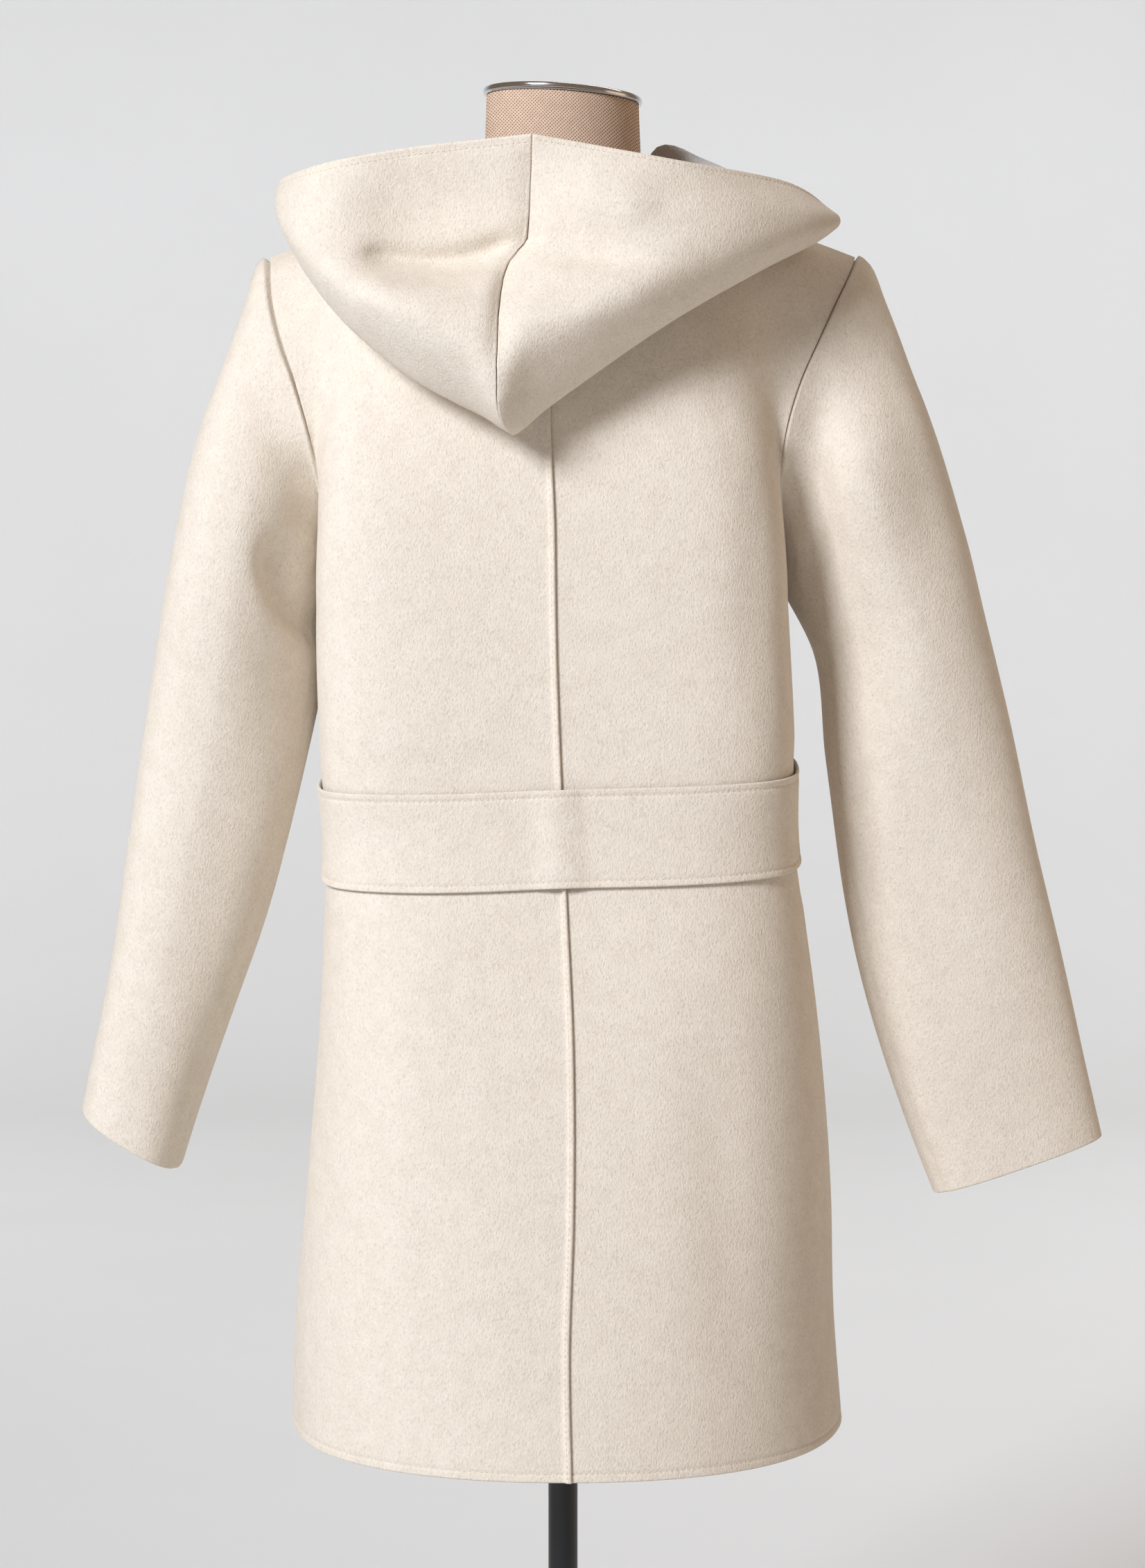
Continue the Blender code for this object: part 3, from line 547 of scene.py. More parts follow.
def yoke_height(across):
    """Height of the yoke line by the share across from the centre."""
    return YOKE + (UNDERARM - YOKE) * across**YOKE_DIP


def upper_column(face, across, shares):
    """The points of one column from the yoke to the shoulder or neckline, following the armhole near it."""
    foot = body_point(face, yoke_height(across), across * np.pi / 2)
    top, pull = top_edge(face, across)
    corner = body_point(face, UNDERARM, np.pi / 2)
    shoulder, shoulder_pull = top_edge(face, 1.0)
    steps = shares[:, None]
    free = hermite(foot, FOOT_PULL, top, pull, steps)
    free_edge = hermite(corner, FOOT_PULL, shoulder, shoulder_pull, steps)
    return free + across**EDGE_REACH * (armhole_point(face, shares) - free_edge)


def centre_line(height):
    """X of the coat's centre line."""
    low = smooth(BODY["height"], BODY["centre"], np.minimum(height, UNDERARM))
    high = smooth(UPPER_CENTRE["height"], UPPER_CENTRE["centre"], np.maximum(height, UNDERARM))
    return np.where(height < UNDERARM, low, high)


def panel_grid(face, degrees):
    """Rows from hem to shoulder of the columns at these degrees, with X measured from the centre line."""
    belt_rows = np.linspace(BELT_LOW, BELT_HIGH, BELT_ROWS, endpoint=False)
    shares = np.linspace(0.0, 1.0, UPPER_ROWS + 1)
    columns = []
    for degree in degrees:
        across = abs(degree) / SIDE_SEAM
        skirt = np.linspace(HEM + HEM_SIDE_RISE * across**2, BELT_LOW, SKIRT_ROWS, endpoint=False)
        waist = np.linspace(BELT_HIGH, yoke_height(across), WAIST_ROWS, endpoint=False)
        heights = np.concatenate([skirt, belt_rows, waist])
        below = body_point(face, heights, np.full(len(heights), across * np.pi / 2))
        column = np.concatenate([below, upper_column(face, across, shares)])
        column[:, 0] *= np.sign(degree)
        columns.append(column)
    return np.stack(columns, axis=1)


def placed(points, side):
    """Points measured from the centre line, set on one side of the coat."""
    out = points.copy()
    out[..., 0] = centre_line(points[..., 2]) + side * points[..., 0]
    return out


def grid_normals(grid, ring=False):
    """Unit normals of a grid of points. A ring closes on itself across its columns."""
    along = np.gradient(grid, axis=0)
    if ring:
        across = np.roll(grid, -1, axis=1) - np.roll(grid, 1, axis=1)
    else:
        across = np.gradient(grid, axis=1)
    return unit(np.cross(across, along))


def agreed(own, joined):
    """Normals along a sewn edge: those of the piece it joins, or its own where the two face opposite ways."""
    share = np.clip(np.sum(own * joined, axis=-1, keepdims=True), 0.0, 1.0)
    return unit(own * (1 - share) + joined * share)


def run(grid, axis):
    """Distance along each line of a grid from its start."""
    steps = np.linalg.norm(np.diff(grid, axis=axis), axis=-1)
    start = np.zeros_like(np.take(steps, [0], axis=axis))
    return np.cumsum(np.concatenate([start, steps], axis=axis), axis=axis)


def from_end(grid, axis):
    """Distance along each line of a grid from its end."""
    length = run(grid, axis)
    return np.take(length, [-1], axis=axis) - length


def resampled(values, lengths, axis, count, near_start, near_end):
    """Values at new places along one axis: at the given distances from the ends, and evenly between them."""
    lines = np.moveaxis(values, axis, 0)
    length_lines = np.moveaxis(lengths, axis, 0)
    out = []
    for index in range(lines.shape[1]):
        knots = length_lines[:, index]
        last = knots[-1] - near_end[::-1]
        middle = np.linspace(near_start[-1], last[0], count)[1:-1]
        out.append(smooth(knots, lines[:, index], np.concatenate([near_start, middle, last])))
    return np.moveaxis(np.array(out), 0, 1) if axis == 0 else np.array(out)


def crease(points, line, depth, widths, taper):
    """How far a soft crease along a line of X and Z presses each point in."""
    line = np.array(line, float)
    line = smooth(np.linspace(0.0, 1.0, len(line)), line, np.linspace(0.0, 1.0, CREASE_STEPS))
    ahead = unit(np.gradient(line, axis=0))
    gaps = points[..., None, [0, 2]] - line
    distances = np.linalg.norm(gaps, axis=-1)
    nearest = distances.argmin(axis=-1)
    distance = np.take_along_axis(distances, nearest[..., None], axis=-1)[..., 0]
    gap = np.take_along_axis(gaps, nearest[..., None, None], axis=-2)[..., 0, :]
    direction = ahead[nearest]
    side = direction[..., 0] * gap[..., 1] - direction[..., 1] * gap[..., 0]
    share = nearest / (CREASE_STEPS - 1)
    fade = eased(np.minimum(share, 1 - share) / taper)
    return depth * fade * bell(distance, np.where(side > 0, widths[0], widths[1]))


def creased(points, creases):
    """The sum of several creases."""
    return sum(crease(points, **each) for each in creases)


def slack(points, seed, wave, depth):
    """A gentle unevenness of hanging cloth. Two pieces with the same seed agree where they meet."""
    generator = np.random.default_rng(seed)
    total = np.zeros(points.shape[:-1])
    for _ in range(SLACK_WAVES):
        direction = unit(generator.normal(size=3) * SLACK_LIE)
        pitch = generator.uniform(*SLACK_PITCHES)
        phase = generator.uniform(*SLACK_PHASES)
        total += np.sin(points @ direction * 2 * np.pi / wave * pitch + phase)
    return depth * total / SLACK_PEAK


def lip(distance, radius):
    """Drop of a rounded edge below its face at a distance in from the edge."""
    inside = np.clip(1 - distance / radius, 0.0, 1.0)
    return radius * (1 - np.sqrt(np.clip(1 - inside**2, 0.0, 1.0)))


def groove(distance, at):
    """Drop of the cloth along a row of stitching."""
    return GROOVE_DEPTH * bell(distance - at, GROOVE_WIDTH)


def panel_base(face, side, lap):
    """Outer points and outward normals of a front or back, before its seams and creases."""
    pitch = STRIP_DEGREES if face == "back" else FRONT_STRIP_DEGREES
    strip = np.linspace(-lap, LAP_FOOT, int((lap + LAP_FOOT) / pitch) + 2)[:-1]
    degrees = np.concatenate([strip, COLUMN_DEGREES])
    grid = placed(panel_grid(face, degrees), side)
    normals = grid_normals(grid) * side * -facing(face)
    neck = len(strip) + NECK_COLUMN
    normals[-UPPER_ROWS:, -SPLIT:] = normals[-UPPER_ROWS:, -SPLIT - 1:-SPLIT]
    for edge in (np.s_[:-UPPER_ROWS, -1], np.s_[-1, neck:]):
        normals[edge + (1,)] = 0.0
        normals[edge] = unit(normals[edge])
    grid[..., 1] += facing(face) * SEAM_GAP / 2
    return grid, normals, degrees


def lapped(face, grid, normals, degrees, lap):
    """A panel whose strip at the centre rises over the other side's panel, with its stitching pressed in."""
    if lap < 0:
        return grid
    top, low, stitch = LAP_SHAPE[face]
    rise = (CLOTH + LAP_GAP[face]) * (1 - eased((degrees - top) / (low - top)))
    pressed = GROOVE_DEPTH * bell(degrees - stitch, LAP_GROOVE)
    out = grid + normals * (rise - pressed)[None, :, None]
    out[-1] += unit(out[-2] - out[-1]) * LAP_SHORT * eased((LAP_FOOT - degrees) / LAP_FOOT)[:, None]
    return out


def panel(face, side, lap):
    """A front or back with its creases, rolled seams and stitched hem.

    Gives its outer points, their normals, and how far its outer and inner faces draw in along its edges.
    """
    grid, normals, degrees = panel_base(face, side, lap)
    grid = lapped(face, grid, normals, degrees, lap)
    for axis, near_start in ((0, HEM_STEPS), (1, LAP_STEPS)):
        both = np.concatenate([grid, normals], axis=-1)
        both = resampled(both, run(grid, axis), axis, grid.shape[axis], near_start, EDGE_STEPS)
        grid, normals = both[..., :3], unit(both[..., 3:])
    from_hem = run(grid, 0)
    from_top = from_end(grid, 0)
    from_centre = run(grid, 1)
    from_side = from_end(grid, 1)
    loose = eased(from_top / SEAM_CALM) * eased(from_side / SEAM_CALM)
    inward = creased(grid, BACK_CREASES if face == "back" else FRONT_CREASES)
    inward = inward + slack(grid, *SLACK[face])
    covered = eased(np.interp(grid[..., 2], BELT_COVER, [0.0, 1.0, 1.0, 0.0]))
    inward = inward * loose * (1 - covered) + BELT_SEAT * covered + groove(from_hem, STITCH_IN_HEM)
    grid = grid - normals * inward[..., None]
    drop = np.maximum.reduce([
        lip(from_hem, CUT_ROUND),
        lip(from_centre, CUT_ROUND),
        lip(from_side, SEWN_ROUND),
        lip(from_top, SEWN_ROUND),
    ])
    under = np.maximum(lip(from_hem, CUT_ROUND), lip(from_centre, CUT_ROUND))
    return grid, normals, drop, under


def armhole_ring(back, front):
    """One value a point round the armhole, from the underarm up the back and down the front."""
    return np.concatenate([back[-UPPER_ROWS - 1:, -1], front[-UPPER_ROWS - 1:, -1][-2:0:-1]])


def sleeve_base(side, sections, armhole, armhole_normals):
    """Rings of points from under the armhole's edge to the cuff, and their outward normals."""
    turns = np.linspace(0.0, 1.0, UPPER_ROWS + 1)
    angles = np.concatenate([np.pi * (1 - turns), -np.pi * (1 - turns[-2:0:-1])])
    round_edge = np.roll(armhole, -1, axis=0) - np.roll(armhole, 1, axis=0)
    into_body = side * unit(np.cross(armhole_normals, round_edge))
    sunk = armhole - armhole_normals * (CLOTH + TUCK_GAP)
    rings = [sunk + into_body * TUCK, sunk - into_body * TUCK / 2]
    for row in zip(*sections.values()):
        in_x, in_z, out_x, out_z, middle_y, half_depth, back_drop, inner_forward = row
        middle = np.array([side * (in_x + out_x) / 2, middle_y, (in_z + out_z) / 2])
        outward = np.array([side * (out_x - in_x) / 2, 0.0, (out_z - in_z) / 2])
        backward = np.array([0.0, -half_depth, -back_drop])
        behind, outside = rounded(1.0, 1.0, angles, SLEEVE_SQUARENESS)
        ring = middle + outside[:, None] * outward + behind[:, None] * backward
        ring[:, 1] += inner_forward * eased((INNER_FROM - outside) / INNER_REACH)
        rings.append(ring)
    rings = np.array(rings)
    lengths = np.linalg.norm(np.diff(rings, axis=0), axis=-1).mean(axis=1)
    knots = np.concatenate([[0.0], np.cumsum(lengths)])
    shares = np.linspace(0.0, 1.0, SLEEVE_ROWS + 1) ** SLEEVE_CROWDING
    grid = smooth(knots, rings, shares * knots[-1])
    normals = grid_normals(grid, ring=True) * -side
    normals[0] = agreed(normals[0], armhole_normals)
    return grid, normals, angles


def sleeve(side, sections, armhole, armhole_normals, creases):
    """A sleeve with its creases, rolled armhole seam, underarm seam and raw cuff."""
    grid, normals, angles = sleeve_base(side, sections, armhole, armhole_normals)
    both = np.concatenate([grid, normals], axis=-1)
    both = resampled(both, run(grid, 0), 0, len(grid), ARMHOLE_STEPS, EDGE_STEPS)
    grid, normals = both[..., :3], unit(both[..., 3:])
    from_armhole = run(grid, 0)
    from_cuff = from_end(grid, 0)
    behind = np.sin(angles)[None, :]
    inward = creased(grid, creases) * eased(behind * BEHIND_FADE)
    as_right = grid * np.array([side, 1.0, 1.0])
    inward = inward + creased(as_right, SLEEVE_FRONT_CREASES) * eased(-behind * BEHIND_FADE)
    inward = inward + slack(grid, *SLACK["sleeve_left" if side < 0 else "sleeve_right"])
    soft = eased((grid[..., 2] - SOFT_SEAM_HEIGHT) / SOFT_SEAM_FADE) if side < 0 else 0.0
    puff = eased((from_armhole - PUFF_FROM - SOFT_FROM * soft) / (PUFF_RISE + SOFT_RISE * soft))
    puff = puff * bell(np.maximum(from_armhole - PUFF_FULL, 0.0), PUFF_SETTLE)
    inward = inward * eased(from_armhole / SLEEVE_CALM) - SLEEVE_PUFF * puff
    seam = np.abs(np.angle(np.exp(1j * (angles - SLEEVE_SEAM_ANGLE))))[None, :]
    seam_line = SLEEVE_SEAM_DEPTH * bell(seam, SLEEVE_SEAM_WIDTH)
    inward = inward + seam_line * eased(from_armhole / SLEEVE_SEAM_FADE)
    grid = grid - normals * inward[..., None]
    drop = np.maximum(lip(from_armhole, SEWN_ROUND), lip(from_cuff, CUT_ROUND))
    return grid, normals, drop, lip(from_cuff, CUT_ROUND)


def neckline(back, front, lead_back, lead_front):
    """Values along the neckline and halfway between, from beside the centre front to the centre back."""
    neck_front = front[-1, lead_front:lead_front + NECK_COLUMN + 1]
    neck_back = back[-1, lead_back:lead_back + NECK_COLUMN + 2][::-1]
    corner = (neck_front[-1:] + neck_back[:1]) / 2
    coarse = np.concatenate([neck_front[:-1], corner, neck_back[1:]])
    halves = np.arange(2 * len(coarse) - 1) / 2
    return np.stack([np.interp(halves, np.arange(len(coarse)), axis) for axis in coarse.T], axis=-1)


def hood_base(side, sections, neck, neck_normals):
    """Rows from the neckline, round the fold, to the face edge of one half, and their outward normals."""
    outward = unit(neck * np.array([1.0, 1.0, 0.0]))
    upward = np.array([0.0, 0.0, 1.0])
    neck = neck + unit(upward - outward) * NECK_GAP
    shares = np.linspace(0.0, 1.0, len(neck))
    at = {name: smooth(sections["share"], column, shares) for name, column in sections.items()}
    fold = np.stack([side * at["fold_x"], at["fold_y"], at["fold_z"]], axis=-1)
    edge = np.stack([side * at["edge_x"], at["edge_y"], at["edge_z"]], axis=-1)
    swell = np.stack([side * at["swell_x"], at["swell_y"], np.zeros(len(neck))], axis=-1)
    roll = neck + outward * ROLL_OUT + upward * ROLL_UP
    under = (roll + fold) / 2
    lobe = fold + (edge - fold) * LOBE_AT + swell
    shelf = fold + (edge - fold) * SHELF_AT + swell * at["shelf"][:, None]
    controls = np.stack([neck, roll, under, fold, lobe, shelf, edge])
    band = neck + (edge - neck) * HOOD_KNOTS[:, None, None]
    controls = controls + (band - controls) * (1 - eased(shares / THROAT))[None, :, None]
    grid = smooth(HOOD_KNOTS, controls, np.linspace(0.0, 1.0, HOOD_ROWS + 1))
    normals = grid_normals(grid) * -side
    normals[0] = agreed(normals[0], unit(neck_normals))
    normals[:, -1, 0] = 0.0
    return grid, unit(normals)


def hood(side, sections, neck, neck_normals):
    """One half of the hood, with the fold across it, its pressed centre seam and its stitched face edge."""
    grid, normals = hood_base(side, sections, neck, neck_normals)
    both = np.concatenate([grid, normals], axis=-1)
    both = resampled(both, run(grid, 0), 0, len(grid), EDGE_STEPS, EDGE_STEPS)
    both = resampled(both, run(both[..., :3], 1), 1, grid.shape[1], EDGE_STEPS, EDGE_STEPS)
    grid, normals = both[..., :3], unit(both[..., 3:])
    from_neck = run(grid, 0)
    from_edge = from_end(grid, 0)
    from_seam = from_end(grid, 1)
    share = from_neck / from_neck[-1]
    outer = eased((share - HOOD_FOLD) / HOOD_FADE)
    grid[..., 2] -= TIP_DROP * bell(from_seam, TIP_WIDTH) * bell(share - HOOD_FOLD, TIP_REACH)
    seam_shift = np.interp(grid[:, -1, 2], HOOD_SEAM["height"], HOOD_SEAM["x"]) - grid[:, -1, 0]
    grid[..., 0] += seam_shift[:, None] * bell(from_seam, SEAM_DRIFT_REACH) * outer
    behind = eased(np.interp(grid[..., 1], CREASE_BEHIND, [1.0, 0.0]))
    inward = creased(grid, HOOD_CREASES) * outer * behind * eased(from_edge / HOOD_CREASE_FADE)
    pressed = SEAM_PRESS * bell(from_seam, SEAM_PRESS_WIDTH) * eased(from_edge / SEAM_PRESS_FADE)
    if side < 0:
        lip_share = bell(grid[..., 2] - LIP_HEIGHT, LIP_REACH)
        pressed = pressed - LIP_OUT * bell(from_seam - LIP_IN, LIP_WIDTH) * lip_share * outer
    loose = eased(from_seam / HOOD_CALM)
    inward = inward + slack(grid, *SLACK["hood"]) * outer * loose * eased(from_edge / HOOD_CALM)
    toward = np.array([0.0, -1.0, 0.0]) * outer[..., None] + normals * (1 - outer)[..., None]
    grid = grid - unit(toward) * (inward + pressed)[..., None]
    fresh = grid_normals(grid) * -side
    fresh[0] = normals[0]
    fresh[:, -1, 0] = 0.0
    normals = unit(fresh)
    grid = grid - normals * groove(from_edge, STITCH_IN_HOOD)[..., None]
    grid[:, :, 0] += side * HOOD_GAP / 2 * eased(1 - from_seam / SEAM_GAP_FADE)
    drop = np.maximum.reduce([
        lip(from_neck, SEWN_ROUND), lip(from_seam, SEWN_ROUND), lip(from_edge, CUT_ROUND),
    ])
    return grid, normals, drop, lip(from_edge, CUT_ROUND)


def belt():
    """The band across the back and round the sides, from the panels' own surface moved out."""
    on_front = 2 * SIDE_SEAM - COLUMN_DEGREES[-2:BELT_END_COLUMN - 1:-1]
    side_degrees = np.concatenate([COLUMN_DEGREES, on_front])
    middle = np.linspace(-LAP_FOOT, LAP_FOOT, BELT_MIDDLE_COLUMNS)[1:-1]
    degrees = np.concatenate([-side_degrees[::-1], middle, side_degrees])
    heights = np.linspace(BELT_LOW, BELT_HIGH, BELT_ROWS * 2 + 1)
    columns = []
    for degree in degrees:
        face = "back" if abs(degree) <= SIDE_SEAM else "front"
        turn = min(abs(degree), 2 * SIDE_SEAM - abs(degree))
        climb = heights + smooth(BELT_CLIMB["degree"], BELT_CLIMB["rise"], degree)
        column = body_point(face, climb, np.full(len(climb), np.radians(turn)))
        column[:, 0] = centre_line(climb) + np.sign(degree) * column[:, 0]
        columns.append(column)
    grid = np.stack(columns, axis=1)
    normals = grid_normals(grid)
    turns = np.broadcast_to(degrees[None, :, None], grid.shape[:2] + (1,))
    both = np.concatenate([grid, normals, turns], axis=-1)
    both = resampled(both, run(grid, 0), 0, BELT_MIDDLE_ROWS, BELT_STEPS, BELT_STEPS)
    both = resampled(both, run(both[..., :3], 1), 1, grid.shape[1], EDGE_STEPS, EDGE_STEPS)
    grid, normals, degree = both[..., :3], unit(both[..., 3:6]), both[..., 6]
    from_low = run(grid, 0)
    from_high = from_end(grid, 0)
    from_left = run(grid, 1)
    from_right = from_end(grid, 1)
    over_lap = (CLOTH + SEAM_GAP) * eased((BELT_OVER_FROM - np.abs(degree)) / BELT_OVER_RISE)
    over_lap = over_lap + BELT_RIDGE * bell(degree - BELT_RIDGE_DEGREE, BELT_RIDGE_WIDTH)
    outward = CLOTH + BELT_GAP + over_lap
    outward = outward - groove(from_low, STITCH_IN_BELT) - groove(from_high, STITCH_IN_BELT)
    outward = outward + BELT_FLARE * (bell(from_low, BELT_FLARE_WIDTH) + bell(from_high, BELT_FLARE_WIDTH))
    grid = grid + normals * outward[..., None]
    drop = np.maximum.reduce([lip(each, CUT_ROUND) for each in (from_low, from_high, from_left, from_right)])
    return grid, normals, drop, drop


def quads(rows, columns, ring, first):
    """Faces of a grid of points numbered from first, row by row."""
    across = columns if ring else columns - 1
    row, column = np.meshgrid(np.arange(rows - 1), np.arange(across), indexing="ij")
    beside = (column + 1) % columns
    here = row * columns
    above = (row + 1) * columns
    corners = [here + column, here + beside, above + beside, above + column]
    return first + np.stack(corners, axis=-1).reshape(-1, 4)


def new_piece(name, points, faces, materials, slots=None):
    """A smooth-shaded mesh object that rides with the coat. Slots number the material of each face."""
    mesh = bpy.data.meshes.new(name)
    mesh.from_pydata(points.tolist(), [], [list(face) for face in faces])
    for material in materials:
        mesh.materials.append(material)
    if slots is not None:
        mesh.polygons.foreach_set("material_index", np.asarray(slots, np.int32))
    mesh.polygons.foreach_set("use_smooth", np.ones(len(mesh.polygons), bool))
    mesh.update()
    obj = bpy.data.objects.new(name, mesh)
    bpy.context.collection.objects.link(obj)
    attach(obj, "root")
    return obj


def cloth_piece(name, grid, normals, drop, under, flip, ring=False):
    """A shell of cloth with a cream face, a grey reverse and closed edges."""
    rows, columns = grid.shape[:2]
    count = rows * columns
    outer_drop = np.minimum(drop, CLOTH - under - THINNEST)
    outer = grid - normals * outer_drop[..., None]
    inner = grid - normals * (CLOTH - np.minimum(under, CLOTH / 2))[..., None]
    points = np.concatenate([outer.reshape(-1, 3), inner.reshape(-1, 3)])
    face = quads(rows, columns, ring, 0)
    reverse = quads(rows, columns, ring, count)[:, ::-1]
    number = np.arange(count).reshape(rows, columns)
    if ring:
        edges = [np.append(number[0], number[0, 0]), np.append(number[-1], number[-1, 0])[::-1]]
    else:
        edges = [np.concatenate([number[0], number[1:, -1], number[-1, -2::-1], number[-2::-1, 0]])]
    rim = np.concatenate([
        np.stack([edge[1:], edge[:-1], edge[:-1] + count, edge[1:] + count], axis=-1) for edge in edges
    ])
    faces = np.concatenate([face, reverse, rim])
    if flip:
        faces = faces[:, ::-1]
    slots = np.concatenate([np.zeros(len(face)), np.ones(len(reverse)), np.zeros(len(rim))])
    obj = new_piece("coat_" + name, points, faces.tolist(), (FACE_WOOL, REVERSE_WOOL), slots)
    return obj


def hex_colour(text):
    """Linear red, green, blue and alpha from an sRGB hex value."""
    parts = np.array([int(text[place:place + 2], 16) / 255 for place in (1, 3, 5)])
    linear = np.where(parts <= 0.04045, parts / 12.92, ((parts + 0.055) / 1.055) ** 2.4)
    return (*linear.tolist(), 1.0)


def fill(tree, node, inputs):
    """Fills a node's inputs with values or with other nodes' outputs."""
    for name, value in inputs.items():
        if isinstance(value, bpy.types.NodeSocket):
            tree.links.new(value, node.inputs[name])
        else:
            node.inputs[name].default_value = value


def add_node(tree, kind, inputs, **settings):
    """Adds a shader node with its settings and fills its inputs."""
    node = tree.nodes.new(kind)
    for name, value in settings.items():
        setattr(node, name, value)
    fill(tree, node, inputs)
    return node


def new_material(name):
    """An empty node material, with its tree, its surface shader and the place on the object."""
    material = bpy.data.materials.new(name)
    material.use_nodes = True
    tree = material.node_tree
    place = tree.nodes.new("ShaderNodeTexCoord").outputs["Object"]
    return material, tree, tree.nodes["Principled BSDF"], place


def felted_wool(name, ground, shade, fleck, glint, fleck_amount):
    """Felted wool double cloth, raised and pressed.

    It shows a dull, soft nap of mixed fibres with fine flecks and a broader cloudiness, and a pale bloom
    where it is seen edge on.
    """
    material, tree, shader, place = new_material(name)
    # The nap is brushed slightly aslant, so the fibre clumps are longer than they are wide. They are drawn
    # coarser than real ones, at 1.4 and 1.8 mm, so that the melange shows.
    nap = add_node(tree, "ShaderNodeMapping", {
        "Vector": place, "Rotation": (0.0, 0.35, 0.0), "Scale": (1.0, 1.0, 0.6)})
    clump = add_node(tree, "ShaderNodeTexNoise", {
        "Vector": nap.outputs[0], "Scale": 1 / 0.0014, "Detail": 3.0, "Roughness": 0.62})
    fibre = add_node(tree, "ShaderNodeTexNoise", {
        "Vector": nap.outputs[0], "W": 3.7, "Scale": 1 / 0.0018, "Detail": 2.0, "Roughness": 0.55},
        noise_dimensions="4D")
    cloud = add_node(tree, "ShaderNodeTexNoise", {
        "Vector": place, "Scale": 1 / 0.014, "Detail": 4.0, "Roughness": 0.6})
    cloud_share = add_node(tree, "ShaderNodeMapRange", {
        "Value": cloud.outputs[0], "From Min": 0.34, "From Max": 0.68, "To Max": 0.75})
    fleck_share = add_node(tree, "ShaderNodeMapRange", {
        "Value": clump.outputs[0], "From Min": 0.50, "From Max": 0.72, "To Max": fleck_amount})
    glint_share = add_node(tree, "ShaderNodeMapRange", {
        "Value": fibre.outputs[0], "From Min": 0.54, "From Max": 0.74, "To Max": 0.75})
    mixed = add_node(tree, "ShaderNodeMix", {
        0: cloud_share.outputs[0], 6: hex_colour(ground), 7: hex_colour(shade)}, data_type="RGBA")
    mixed = add_node(tree, "ShaderNodeMix", {
        0: fleck_share.outputs[0], 6: mixed.outputs[2], 7: hex_colour(fleck)}, data_type="RGBA")
    mixed = add_node(tree, "ShaderNodeMix", {
        0: glint_share.outputs[0], 6: mixed.outputs[2], 7: hex_colour(glint)}, data_type="RGBA")
    bump = add_node(tree, "ShaderNodeBump", {
        "Height": clump.outputs[0], "Strength": 0.9, "Distance": 0.0008})
    fill(tree, shader, {
        "Base Color": mixed.outputs[2], "Normal": bump.outputs[0],
        "Roughness": 0.95, "Specular IOR Level": 0.15,
        "Sheen Weight": 0.22, "Sheen Roughness": 0.45, "Sheen Tint": hex_colour("#F4EEE6")})
    return material


def spun_thread():
    """Spun polyester sewing thread, twisted: a fine cord with a faint lustre, a shade below the wool."""
    material, tree, shader, place = new_material("spun_polyester_thread")
    twist = add_node(tree, "ShaderNodeTexNoise", {"Vector": place, "Scale": 1 / 0.0008, "Detail": 2.0})
    mixed = add_node(tree, "ShaderNodeMix", {
        0: twist.outputs[0], 6: hex_colour("#CDBEA8"), 7: hex_colour("#E6DAC8")}, data_type="RGBA")
    fill(tree, shader, {"Base Color": mixed.outputs[2], "Roughness": 0.6, "Sheen Weight": 0.1})
    return material


def twill_canvas():
    """Cotton twill stretched over the form: a fine slanting weave of tan and brown yarn, dull, with slubs."""
    material, tree, shader, place = new_material("stretched_cotton_twill")
    # The yarns are about 0.5 mm apart, and are drawn at 1.6 and 1.9 mm so that the weave shows.
    wave_length = 0.314  # of the wave texture at a scale of 1
    ribs = add_node(tree, "ShaderNodeMapping", {"Vector": place, "Rotation": (0.0, 0.75, 0.0)})
    wave = add_node(tree, "ShaderNodeTexWave", {
        "Vector": ribs.outputs[0], "Scale": wave_length / 0.0016, "Distortion": 0.4, "Detail": 1.0},
        bands_direction="X")
    cross = add_node(tree, "ShaderNodeTexWave", {
        "Vector": ribs.outputs[0], "Scale": wave_length / 0.0019, "Distortion": 0.5, "Detail": 1.0},
        bands_direction="Z")
    yarn = add_node(tree, "ShaderNodeMath", {0: wave.outputs[1], 1: cross.outputs[1]}, operation="MULTIPLY")
    slub = add_node(tree, "ShaderNodeTexNoise", {"Vector": place, "Scale": 1 / 0.006, "Detail": 3.0})
    mixed = add_node(tree, "ShaderNodeMix", {
        0: yarn.outputs[0], 6: hex_colour("#EBCFB8"), 7: hex_colour("#5E4232")}, data_type="RGBA")
    slub_share = add_node(tree, "ShaderNodeMapRange", {
        "Value": slub.outputs[0], "From Min": 0.35, "From Max": 0.75, "To Max": 0.4})
    mixed = add_node(tree, "ShaderNodeMix", {
        0: slub_share.outputs[0], 6: mixed.outputs[2], 7: hex_colour("#BB9A80")}, data_type="RGBA")
    bump = add_node(tree, "ShaderNodeBump", {
        "Height": yarn.outputs[0], "Strength": 0.5, "Distance": 0.0004}, invert=True)
    fill(tree, shader, {
        "Base Color": mixed.outputs[2], "Normal": bump.outputs[0],
        "Roughness": 0.85, "Specular IOR Level": 0.2})
    return material


def polished_chrome():
    """Chrome plate on a spun steel disc: a bright mirror, softened by an uneven haze."""
    material, tree, shader, place = new_material("polished_chrome_plate")
    haze = add_node(tree, "ShaderNodeTexNoise", {"Vector": place, "Scale": 1 / 0.012, "Detail": 4.0})
    rough = add_node(tree, "ShaderNodeMapRange", {
        "Value": haze.outputs[0], "From Min": 0.3, "From Max": 0.7, "To Min": 0.12, "To Max": 0.20})
    fill(tree, shader, {"Base Color": hex_colour("#D8D9DC"), "Metallic": 1.0, "Roughness": rough.outputs[0]})
    return material


